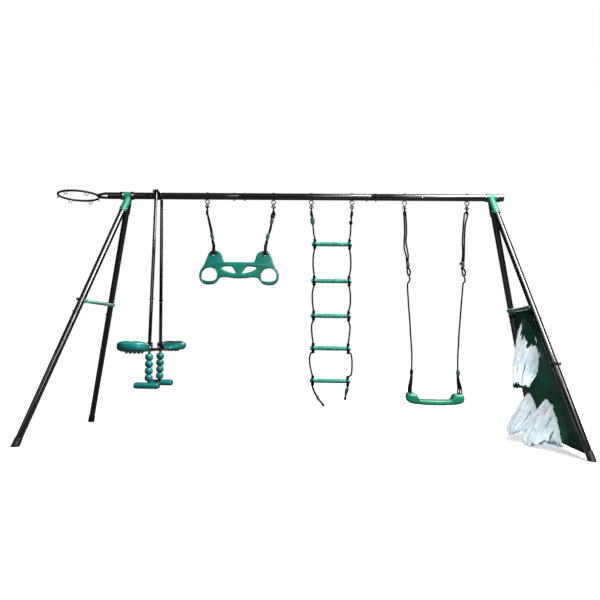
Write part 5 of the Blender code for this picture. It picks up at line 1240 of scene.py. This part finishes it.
SADDLE = ((0.394, 0.016, 0.6440, 0.6300), (0.400, 0.030, 0.6500, 0.6250), (0.420, 0.043, 0.6580, 0.6225), (0.450, 0.060, 0.6680, 0.6205), (0.480, 0.080, 0.6760, 0.6195), (0.520, 0.096, 0.6840, 0.6190),
          (0.560, 0.103, 0.6890, 0.6190), (0.600, 0.104, 0.6920, 0.6190), (0.635, 0.099, 0.6945, 0.6200), (0.660, 0.088, 0.6945, 0.6225), (0.680, 0.068, 0.6900, 0.6290), (0.690, 0.048, 0.6850, 0.6350), (0.6955, 0.022, 0.6780, 0.6430))
for row, f in ROWS.items():
    t = np.array(SADDLE)
    ys = np.concatenate([np.linspace(0.394, 0.42, 9), np.linspace(0.425, 0.66, 40), np.linspace(0.664, 0.6955, 12)])
    rings = []
    m = 80
    a = np.linspace(0, TAU, m, endpoint=False)
    c, q = np.cos(a), np.sin(a)
    for y in ys:
        w, top, low = (np.interp(y, t[:, 0], t[:, k]) for k in (1, 2, 3))
        x = np.sign(c) * np.abs(c) ** 0.62 * w
        z = (top + low) / 2 + np.sign(q) * np.abs(q) ** 0.62 * (top - low) / 2
        up = q > 0.1
        # a shallow trough along the middle and two grooves beside it
        z = z - up * 0.0035 * np.exp(-(x / 0.020) ** 2) * np.clip((y - 0.43) / 0.06, 0, 1) * np.clip((0.685 - y) / 0.03, 0, 1)
        z = z - up * 0.0016 * np.exp(-((np.abs(x) - 0.052) / 0.0035) ** 2) * np.clip((y - 0.49) / 0.03, 0, 1) * np.clip((0.665 - y) / 0.02, 0, 1)
        rings.append(np.stack([GX + x, np.full(m, f * y), z], 1))
    geos = [skin(rings)]
    # moulded teeth under the seat
    for k in range(4):
        for y in (0.520, 0.600):
            x = GX + (-0.042 + 0.028 * k)
            tooth = np.array([[(x - 0.009, f * (y - 0.018), 0.6215), (x + 0.009, f * (y - 0.018), 0.6215), (x + 0.009, f * (y + 0.018), 0.6215), (x - 0.009, f * (y + 0.018), 0.6215)],
                              [(x - 0.0022, f * (y - 0.006), 0.6085), (x + 0.0022, f * (y - 0.006), 0.6085), (x + 0.0022, f * (y + 0.006), 0.6085), (x - 0.0022, f * (y + 0.006), 0.6085)]])
            geos.append(skin(tooth))
    # rim bead round the widest line
    rim = []
    for s in (-1, 1):
        for y in (ys if s > 0 else ys[::-1]):
            w, top, low = (np.interp(y, t[:, 0], t[:, k]) for k in (1, 2, 3))
            rim.append((GX + s * (w + 0.0004), f * y, (top + low) / 2 - 0.004))
    geos.append(tube(curve(rim, 0.006, True), 0.0022, 8, closed=True))
    piece(f"glider_seat_{row}_moulding", geos, TEAL, "glider_carriage", [f"glider_seat_{row}"], 42)

    # Footrest: a tread board with ribs across it.
    rings = []
    m = 64
    a = np.linspace(0, TAU, m, endpoint=False)
    c, q = np.cos(a), np.sin(a)
    stations = np.concatenate([-0.088 + 0.018 * (1 - np.cos(np.linspace(0.12, math.pi / 2, 10))), np.linspace(-0.068, 0.068, 84), 0.088 - 0.018 * (1 - np.cos(np.linspace(0.12, math.pi / 2, 10)))[::-1]])
    for x in stations:
        e = max(0.0, (abs(x) - 0.070) / 0.018)
        k = math.sqrt(max(0.0, 1 - e * e * 0.85))
        hy, hz = 0.040 * (0.86 + 0.14 * k), 0.0235 * (0.62 + 0.38 * k)
        y = np.sign(c) * np.abs(c) ** 0.70 * hy
        z = 0.3755 + np.sign(q) * np.abs(q) ** 0.80 * hz
        rib = 0.0011 * (0.5 - 0.5 * math.cos(x / 0.0125 * TAU)) * (abs(x) < 0.062)
        z = z - (q > 0.2) * rib
        rings.append(np.stack([np.full(m, GX + x), f * 0.212 + y, z], 1))
    piece(f"footrest_{row}_tread", [skin(rings)], TEAL, "glider_carriage", [f"footrest_{row}"], 40)

# ============================================================== target panel
N_OUT = Vector((1, 0, SLOPE)) / SLOPE_N
UP = Vector((-SLOPE, 0, 1)) / SLOPE_N
ORIGIN = Vector((FOOT_X, 0, 0))
TARGETS = (("upper", -0.020, 0.730, 0.163), ("rear", 0.470, 0.215, 0.120), ("front", -0.035, 0.192, 0.135))
TOP_Z, LOW_Z = 0.956, 0.030


def leg_y(z):
    return FOOT_Y * (1 - z / BAR_Z)


def rear_edge(z):
    k = (z - LOW_Z) / (TOP_Z - LOW_Z)
    return leg_y(z) - 0.032 - 0.083 * k


def front_edge(z):
    return -leg_y(z) + 0.0295


def on_panel(y, z, out=0.0):
    """A point of the sheet at width y and height z, out from its plane."""
    return ORIGIN + Y_AXIS * y + UP * (z * SLOPE_N) + N_OUT * out


TIES_FRONT, TIES_REAR = (0.900, 0.585, 0.090), (0.930, 0.480, 0.090)
PULLS = [(front_edge(z), z) for z in TIES_FRONT] + [(rear_edge(z), z) for z in TIES_REAR] + [(y, TOP_Z) for y in (-0.22, -0.07, 0.08, 0.18)]


def ripple(y, z):
    """How far the sheet stands off its plane: slack between the ties, creases
    that run in from them, and the sag round the holes."""
    n = noise.noise(Vector((y * 3.1, z * 2.2, 0.7))) * 0.0050
    n += noise.noise(Vector((y * 9.0 + z * 5.0, z * 6.0, 3.1))) * 0.0016
    for py, pz in PULLS:
        dy, dz = y - py, z - pz
        d = math.hypot(dy, dz)
        angle = math.atan2(dz, dy)
        n += 0.0042 * math.exp(-((d - 0.05) / 0.11) ** 2) * math.sin(angle * 7 + py * 9)
    for _, cy, cz, r in TARGETS:
        d = math.hypot(y - cy, z - cz) - r
        if d < 0.09:
            angle = math.atan2(z - cz, y - cy)
            n += 0.0030 * math.exp(-(max(d, 0) / 0.035) ** 2) * math.sin(angle * 9 + cy * 20)
    return max(-0.009, min(0.009, n))


cols, rows = 210, 150
ys = np.zeros((rows, cols))
zs = np.zeros((rows, cols))
for i in range(rows):
    z = LOW_Z + (TOP_Z - LOW_Z) * i / (rows - 1)
    for j in range(cols):
        k = j / (cols - 1)
        scallop = 0.0
        ys[i, j] = front_edge(z) * (1 - k) + rear_edge(z) * k
        zs[i, j] = z
# slack edges hang in shallow bays between the ties
for i in range(rows):
    z = zs[i, 0]
    for edge_ties, j0, sgn in ((TIES_FRONT, 0, 1), (TIES_REAR, cols - 1, -1)):
        stops = sorted(edge_ties)
        bay = 0.0
        for lo, hi in zip(stops, stops[1:]):
            if lo < z < hi:
                bay = 0.010 * math.sin(math.pi * (z - lo) / (hi - lo))
        for j in range(cols):
            k = 1 - abs(j - j0) / (cols - 1)
            ys[i, j] += sgn * bay * k ** 6
dead = np.zeros((rows, cols), bool)
for _, cy, cz, r in TARGETS:
    d = np.hypot(ys - cy, zs - cz)
    near = np.abs(d - r) < 0.0042
    scale = np.where(d > 1e-6, r / np.maximum(d, 1e-6), 1)
    ys = np.where(near, cy + (ys - cy) * scale, ys)
    zs = np.where(near, cz + (zs - cz) * scale, zs)
    dead |= (d < r - 0.0042)
index = -np.ones((rows, cols), int)
verts, uv_of = [], []
for i in range(rows):
    for j in range(cols):
        if not dead[i, j]:
            index[i, j] = len(verts)
            verts.append(vec(on_panel(ys[i, j], zs[i, j], ripple(ys[i, j], zs[i, j]))))
            uv_of.append((ys[i, j], zs[i, j] * SLOPE_N))
faces, uvs = [], []
for i in range(rows - 1):
    for j in range(cols - 1):
        corner = [index[i, j], index[i, j + 1], index[i + 1, j + 1], index[i + 1, j]]
        live = [c for c in corner if c >= 0]
        if len(live) >= 3:
            cy, cz = np.mean([uv_of[c] for c in live], axis=0)
            if all(math.hypot(cy - hy, cz / SLOPE_N - hz) > hr - 0.001 for _, hy, hz, hr in TARGETS):
                faces.append(live)
                uvs += [uv_of[c] for c in live]
sheet = raw("target_panel_cloth", [(np.array(verts), faces, uvs)])
mod = sheet.modifiers.new("t", "SOLIDIFY")
mod.thickness = 0.0016
mod.offset = 0
sheet = apply_all(sheet)
finish(sheet, FABRIC, "root", ["target_panel"], 60)


def tape(points, width, thick, out_sign=1, lap=None):
    """Points on the sheet along (y, z), standing off it by its ripple."""
    pts = []
    for y, z in points:
        pts.append(vec(on_panel(y, z, ripple(y, z))))
    return pts


def ribbon(yz, width, thick, closed=False):
    """A flat tape lying on both faces of the cloth along (y, z) points."""
    p = curve([(y, z, 0) for y, z in yz], 0.006, closed)
    t, _, _ = frames(p, closed, (0, 0, 1))
    side = np.stack([-t[:, 1], t[:, 0]], 1)
    a = np.linspace(0, TAU, 12, endpoint=False)
    rings = []
    for (y, z, _), s in zip(p, side):
        o = ripple(y, z)
        ring = []
        for b in a:
            c, q = math.cos(b), math.sin(b)
            w = math.copysign(abs(c) ** 0.4, c) * width / 2
            h = math.copysign(abs(q) ** 0.4, q) * thick / 2
            ring.append(vec(on_panel(y + s[0] * w, z + s[1] * w, o + h)))
        rings.append(ring)
    length = np.concatenate([[0], np.cumsum(np.linalg.norm(np.diff(p, axis=0), axis=1))])
    return skin(rings, length, True, closed, not closed)


def stitches(yz, closed=False, pitch=0.012, face=0.0027):
    """A row of short thread stitches on both faces."""
    p = curve([(y, z, 0) for y, z in yz], pitch / 2, closed)
    geos = []
    for k in range(0, len(p) - 1, 2):
        a, b = p[k], p[k + 1]
        for sign in (-1, 1):
            pts = []
            for u in (0.05, 0.3, 0.7, 0.95):
                y, z = a[0] + (b[0] - a[0]) * u, a[1] + (b[1] - a[1]) * u
                pts.append(vec(on_panel(y, z, ripple(y, z) + sign * (face - (0.0006 if u in (0.05, 0.95) else 0)))))
            geos.append(tube(pts, 0.0006, 5))
    return geos


binding, thread = [], []
zz = np.linspace(LOW_Z, TOP_Z, 40)


def edge_points(kind, inset):
    out = []
    for z in zz:
        ties = TIES_FRONT if kind == "front" else TIES_REAR
        stops = sorted(ties)
        bay = 0.0
        for lo, hi in zip(stops, stops[1:]):
            if lo < z < hi:
                bay = 0.010 * math.sin(math.pi * (z - lo) / (hi - lo))
        out.append((front_edge(z) + inset + bay, z) if kind == "front" else (rear_edge(z) - inset - bay, z))
    return out


for kind in ("front", "rear"):
    binding.append(ribbon(edge_points(kind, 0.009), 0.022, 0.0044))
    thread += stitches(edge_points(kind, 0.016))
for z, dz in ((LOW_Z, 0.010), (TOP_Z, -0.010)):
    yy = np.linspace(front_edge(z) + 0.004, rear_edge(z) - 0.004, 30)
    binding.append(ribbon([(y, z + dz) for y in yy], 0.026, 0.0044))
    thread += stitches([(y, z + dz * 1.7) for y in yy])
for _, cy, cz, r in TARGETS:
    loop = [(cy + (r + 0.007) * math.cos(t), cz + (r + 0.007) * math.sin(t)) for t in np.linspace(0, TAU, 48, endpoint=False)]
    binding.append(ribbon(loop, 0.020, 0.0046, True))
    loop = [(cy + (r + 0.014) * math.cos(t), cz + (r + 0.014) * math.sin(t)) for t in np.linspace(0, TAU, 48, endpoint=False)]
    thread += stitches(loop, True)
piece("target_panel_binding", binding, BINDING, "root", (), 60)
piece("target_panel_stitches", thread, THREAD, "root", (), 60)

# Webbing ties: a band round the leg or crossbar, and its tongue on the sheet.
ties = []


def band(centre, axis, r, width=0.022, thick=0.0016):
    return turned([(r, -width / 2), (r + thick, -width / 2), (r + thick, width / 2), (r, width / 2)], centre, axis, 44, 0.0005, closed=True)


for row, heights in (("front", TIES_FRONT), ("rear", TIES_REAR)):
    for z in heights:
        s = (1 - z / BAR_Z) * leg_axis("right", row)[2]
        centre = leg_at("right", row, s)
        d = leg_axis("right", row)[1]
        if row == "front" and z != 0.585:
            continue
        ties.append(band(centre, d, LEG_R + 0.0004))
        edge_y = front_edge(z) if row == "front" else rear_edge(z)
        inner = edge_y + (0.030 if row == "front" else -0.030)
        outer = centre.y + (LEG_R + 0.001) * (1 if row == "front" else -1)
        path = []
        for k in np.linspace(0, 1, 12):
            y = outer + (inner - outer) * k
            lift = 0.0032 * math.sin(k * math.pi) + (0.0024 if k > 0.3 else 0.0)
            path.append(vec(on_panel(y, z, ripple(y, z) * min(1, k * 2) - lift)))
        a = np.linspace(0, TAU, 12, endpoint=False)
        section = np.stack([np.sign(np.cos(a)) * np.abs(np.cos(a)) ** 0.4 * 0.0110, np.sign(np.sin(a)) * np.abs(np.sin(a)) ** 0.4 * 0.0009], 1)
        ties.append(sweep(path, section, side=tuple(UP)))
s = 0.901
cross_mid = leg_at("right", "front", s)
cross_c = Vector((cross_mid.x, 0, cross_mid.z)) - N_OUT * 0.0260
lacing = []
for y in (-0.235, 0.172):
    centre = cross_c + Y_AXIS * y
    top_p = on_panel(y, TOP_Z - 0.012, ripple(y, TOP_Z))
    path = []
    for t in np.linspace(0, TAU, 20, endpoint=False):
        ring = centre + UP * (0.0150 * math.cos(t)) + N_OUT * (0.0150 * math.sin(t))
        if math.cos(t) < -0.2:
            blend = (-0.2 - math.cos(t)) / 0.8
            ring = ring.lerp(top_p + N_OUT * (0.0040 * math.copysign(1, math.sin(t))), blend * 0.9)
        path.append(vec(ring))
    lacing.append(tube(curve(path, 0.004, True), 0.0013, 10, closed=True))
piece("target_panel_lacing", lacing, BINDING, "root", (), 60)
piece("target_panel_ties", ties, STRAP, "root", (), 60)

# Net pockets: bags of soft cloth sewn to the rims, hanging in long pleats.
BAGS = {
    "upper": (0.405, -0.155, 0.078, 0.030, 0.032, -0.012, 0.0),
    "rear": (0.018, -0.150, 0.088, 0.080, 0.026, -0.010, 0.020),
    "front": (0.006, -0.115, 0.140, 0.105, 0.024, -0.075, 0.035),
}


def pleat(x, sharp=0.55):
    return 2.0 * abs(math.sin(x / 2)) ** sharp - 1.25


for n, (name, cy, cz, r) in enumerate(TARGETS):
    hem_z, hem_out, hem_long, hem_wide, bulge, along, lift = BAGS[name]
    rows_n, per = 96, 360
    grid = np.zeros((rows_n, per, 3))
    pleat_shade, dark = np.full((rows_n, per), 0.6), np.zeros((rows_n, per))
    for j in range(per):
        a = TAU * j / per
        ca, sa = math.cos(a), math.sin(a)
        rim = Vector((cy + (r + 0.005) * ca, cz * SLOPE_N + (r + 0.005) * sa, -0.0040))
        crimp = 0.010 * noise.noise(Vector((ca * 3.1 + n * 5, sa * 3.1, 8.2))) + 0.005 * noise.noise(Vector((ca * 9, sa * 9, n * 3.0)))
        out = hem_out - hem_wide * sa * (1 + 0.25 * noise.noise(Vector((ca * 2.0, sa * 2.0, n * 2.2))))
        reach = 1 + 0.22 * noise.noise(Vector((ca * 2.4 + 4, sa * 2.4, n * 1.7)))
        hem = Vector((cy + along + hem_long * reach * ca, max(hem_z + lift * ca * ca + crimp * 2.4 + 0.016 * abs(math.sin(5.5 * a + n)), 0.004) * SLOPE_N - out * SLOPE, out))
        for i in range(rows_n):
            u = i / (rows_n - 1)
            point = rim.lerp(hem, u)
            point.z -= bulge * max(0.0, math.sin(math.pi * u)) ** 0.6 * (0.55 + 0.45 * sa)
            # slack that slumps toward the bottom, heavier on the near side
            slump = 0.020 * math.sin(math.pi * min(1.0, u * 1.15)) ** 2 * (0.6 + 0.6 * noise.noise(Vector((ca * 1.6, sa * 1.6, n * 7.7))))
            point.y -= slump
            if name == "upper":
                # the lower near lip sags over the rim
                lip = math.exp(-((math.degrees(a) - 214) / 32) ** 2) * math.exp(-((u - 0.20) / 0.20) ** 2)
                point += Vector((-0.105, -0.018, -0.040)) * lip
            grid[i, j] = point
    # normals of the plain bag, to fold along
    du = np.gradient(grid, axis=0)
    da = np.roll(grid, -1, 1) - np.roll(grid, 1, 1)
    normal = np.cross(da, du)
    normal /= np.maximum(np.linalg.norm(normal, axis=2), 1e-9)[..., None]
    middle = grid.mean(1, keepdims=True)
    facing = np.sign(((grid - middle) * normal).sum(2).mean())
    normal *= facing
    for j in range(per):
        a = TAU * j / per
        ca, sa = math.cos(a), math.sin(a)
        weight = 0.75 + 0.9 * noise.noise(Vector((ca * 2.3 + n, sa * 2.3, 5.5)))
        for i in range(rows_n):
            u = i / (rows_n - 1)
            rise = math.sin(min(1.0, u * 4.0) * math.pi / 2)
            drift = 1.1 * noise.noise(Vector((ca * 1.7 + n * 3, sa * 1.7, u * 1.9)))
            fold = 0.0150 * weight * pleat(11 * a + n + drift * 1.9)
            fold += 0.0062 * pleat(29 * a + 1.1 + drift * 2.6, 0.6)
            fold += 0.0030 * pleat(61 * a + drift * 3.0, 0.7)
            fold *= rise * (0.50 + 0.80 * u)
            cell = abs(noise.noise(Vector((ca * 4.2 + n * 4, sa * 4.2, u * 5.5))))
            fine = abs(noise.noise(Vector((ca * 11.0 + n * 2, sa * 11.0, u * 14.0))))
            fold += rise * (0.016 * (0.25 - cell) + 0.0060 * (0.25 - fine))
            streak = noise.noise(Vector((ca * 13.0 + n * 3, sa * 13.0, u * 2.2))) + 0.6 * noise.noise(Vector((ca * 31.0, sa * 31.0 + n, u * 5.0)))
            # Painted shade: how deep each point lies in the pleats, with streaks, for the net to darken its valleys and
            # lighten its crests.
            pleat_shade[i, j] = min(1.0, max(0.0, 0.66 + fold / 0.024 + 0.42 * rise * streak))
            if name == "upper":
                # painted shade: the near part of the rim is painted the panel's dark green where shade falls, and the
                # hem is painted the same green
                near_side = math.exp(-((math.degrees(a) - 132) / 44) ** 4)
                dark[i, j] = 1.0 if u < 0.24 * near_side * (0.85 + 0.5 * noise.noise(Vector((ca * 6, sa * 6, 2.0)))) or u > 0.955 else 0.0
            grid[i, j] += normal[i, j] * fold
    low_w = np.minimum(grid[..., 2], -0.0036)
    grid[..., 2] = low_w
    world = vec(ORIGIN) + grid[..., 0:1] * vec(Y_AXIS) + grid[..., 1:2] * vec(UP) + grid[..., 2:3] * vec(N_OUT)
    world[..., 2] = np.where(world[..., 2] < 0.0035, 0.0035 + (np.sin(np.arange(per) * 0.9) * 0.001)[None], world[..., 2])
    net = [skin(world, np.linspace(0, 0.35, rows_n), True, False, False)]
    # The hem, drawn together across the bottom and tucked up inside.
    last = world[-1]
    centre_line = last.mean(0)
    inner = [last]
    for k in range(1, 9):
        t = k / 8
        target = centre_line + (last - centre_line) * np.array([0.15, 0.75, 1.0])
        inner.append(last * (1 - t) + target * t + np.array([0, 0, 0.018 * math.sin(t * math.pi / 2)]))
    inner = np.array(inner)
    closed_end = skin(inner, None, True, False, False)
    closed_end[1].append(list(range(8 * per, 9 * per)))
    net.append((closed_end[0], closed_end[1], list(closed_end[2]) + [(0.5, 0.0)] * per))
    bag = raw(f"net_pocket_{name}_cloth", net)
    for label, table, rest in (("fold", pleat_shade, 0.35), ("dark", dark, 1.0 if name == "upper" else 0.0)):
        layer = bag.data.attributes.new(label, "FLOAT", "POINT")
        values = np.full(len(bag.data.vertices), rest, dtype=np.float32)
        values[:rows_n * per] = table.reshape(-1)
        layer.data.foreach_set("value", values)
    tidy(bag, 0.00005)
    mod = bag.modifiers.new("t", "SOLIDIFY")
    mod.thickness = 0.0008
    mod.offset = 0
    bag = apply_all(bag)
    finish(bag, NET, "root", [f"net_pocket_{name}"], 80)
    # A cord along the rim.
    rim = [vec(on_panel(cy + (r + 0.005) * math.cos(t), cz + (r + 0.005) * math.sin(t), -0.0052)) for t in np.linspace(0, TAU, 72, endpoint=False)]
    piece(f"net_pocket_{name}_rim_cord", [rope(rim, 0.0026, closed=True, step=0.004)], NET, "root", (), 60)

# ============================================================ stage and light
scene = bpy.context.scene
floor_mesh = bpy.data.meshes.new("floor")
bm = bmesh.new()
bmesh.ops.create_circle(bm, cap_ends=True, radius=45.0, segments=96)
bm.to_mesh(floor_mesh)
bm.free()
floor = bpy.data.objects.new("floor", floor_mesh)
scene.collection.objects.link(floor)
floor.location = (0, 0, -0.0008)
mat = bpy.data.materials.new("floor")
mat.use_nodes = True
tree = mat.node_tree
shader = tree.nodes["Principled BSDF"]
plug(tree, shader, Base_Color=(0.80, 0.80, 0.80, 1), Roughness=0.9, Specular_IOR_Level=0.05)
shader.inputs["Emission Color"].default_value = (1, 1, 1, 1)
where = tree.nodes.new("ShaderNodeTexCoord")
away = node(tree, "VectorMath", {0: where.outputs["Object"]}, operation="LENGTH").outputs["Value"]
tree.links.new(spread(tree, away, 0.52, 1.0, 2.6, 6.0), shader.inputs["Emission Strength"])
dim = node(tree, "BsdfDiffuse", {"Color": (0.13, 0.135, 0.145, 1)})
path = tree.nodes.new("ShaderNodeLightPath")
choose = node(tree, "MixShader", {0: path.outputs["Is Camera Ray"]})
tree.links.new(dim.outputs[0], choose.inputs[1])
tree.links.new(shader.outputs[0], choose.inputs[2])
tree.links.new(choose.outputs[0], tree.nodes["Material Output"].inputs[0])
floor_mesh.materials.append(mat)
floor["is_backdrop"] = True

world = bpy.data.worlds.new("studio")
scene.world = world
world.use_nodes = True
tree = world.node_tree
tree.nodes.clear()
out = tree.nodes.new("ShaderNodeOutputWorld")
path = tree.nodes.new("ShaderNodeLightPath")
coord = tree.nodes.new("ShaderNodeTexCoord")
up = node(tree, "SeparateXYZ", {0: coord.outputs["Generated"]})
sky = ramp(tree, spread(tree, up.outputs[2], 0.0, 1.0, -1.0, 1.0), [(0.0, (0.010, 0.010, 0.012)), (0.50, (0.022, 0.022, 0.025)), (0.75, (0.05, 0.05, 0.056)), (1.0, (0.14, 0.145, 0.16))])
dim = node(tree, "Background", {"Color": sky, "Strength": 1.0})
white = node(tree, "Background", {"Color": (1, 1, 1, 1), "Strength": 1.0})
choose = node(tree, "MixShader", {0: path.outputs["Is Camera Ray"]})
tree.links.new(dim.outputs[0], choose.inputs[1])
tree.links.new(white.outputs[0], choose.inputs[2])
tree.links.new(choose.outputs[0], out.inputs[0])


def softbox(name, place, target, size, watts, tint=(1, 1, 1)):
    light = bpy.data.lights.new(name, "AREA")
    light.shape = "RECTANGLE"
    light.size, light.size_y = size
    light.energy = watts
    light.color = tint
    obj = bpy.data.objects.new(name, light)
    scene.collection.objects.link(obj)
    obj.location = place
    obj.rotation_euler = (Vector(target) - Vector(place)).to_track_quat("-Z", "Y").to_euler()
    return obj


def only_shine(light, prefixes=()):
    """A light that shows in shiny surfaces only, and, if names are given, only
    in the pieces whose names begin so."""
    light.visible_diffuse = False
    if prefixes:
        group = bpy.data.collections.new(light.name + "_on")
        for obj in bpy.data.objects:
            if obj.type == "MESH" and obj.name.startswith(prefixes):
                group.objects.link(obj)
        light.light_linking.receiver_collection = group


LEGS = ("leg_",)
only_shine(softbox("strip_right", (3.1, -3.4, 4.5), (1.6, -0.3, 1.0), (0.8, 4.4), 300), LEGS)
only_shine(softbox("strip_left", (-0.45, -3.55, 4.5), (-1.6, -0.3, 1.0), (0.6, 4.4), 120), LEGS)
only_shine(softbox("bar_right", (1.9, -1.7, 5.0), (1.0, 0, 1.78), (2.6, 2.6), 260), ("bar_",))
only_shine(softbox("front_low", (-0.3, -4.5, 4.35), (-0.2, 0, 1.7), (4.6, 0.7), 14), ("bar_",))
only_shine(softbox("front_mid", (0.62, -4.5, 4.35), (0.4, 0, 1.7), (1.3, 0.8), 16), ("bar_",))
softbox("key", (2.3, -2.7, 4.6), (0.5, 0, 0.9), (2.2, 2.6), 500)
softbox("top", (2.3, -0.7, 5.2), (0.6, 0.1, 1.0), (3.0, 1.1), 210, (0.97, 0.98, 1.0))
softbox("front", (1.4, -6.4, 3.0), (0.2, 0, 0.8), (2.4, 2.0), 70)
softbox("left", (-4.6, -4.6, 3.2), (0.9, 0, 0.6), (2.6, 2.6), 30)
softbox("back", (1.5, 6.0, 3.4), (0, 0, 1.0), (5.0, 1.0), 90)

# ===================================================================== camera
yaw, pitch, roll = math.radians(-3.3095), math.radians(2.9312), math.radians(0.97105)
forward = Vector((math.sin(yaw) * math.cos(pitch), math.cos(yaw) * math.cos(pitch), math.sin(pitch)))
right = Vector((math.cos(yaw), -math.sin(yaw), 0))
above = right.cross(forward)
right2 = right * math.cos(roll) + above * math.sin(roll)
above2 = above * math.cos(roll) - right * math.sin(roll)
camera_data = bpy.data.cameras.new("camera")
camera_data.lens = 45.585
camera_data.sensor_width = 36.0
camera_data.clip_end = 200.0
camera = bpy.data.objects.new("camera", camera_data)
scene.collection.objects.link(camera)
matrix = Matrix((right2, above2, -forward)).transposed().to_4x4()
matrix.translation = Vector((0.2801600 + DX, -5.58464, 0.72676))
camera.matrix_world = matrix
scene.camera = camera
scene.view_settings.view_transform = "Standard"
scene.view_settings.look = "None"

low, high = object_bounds()
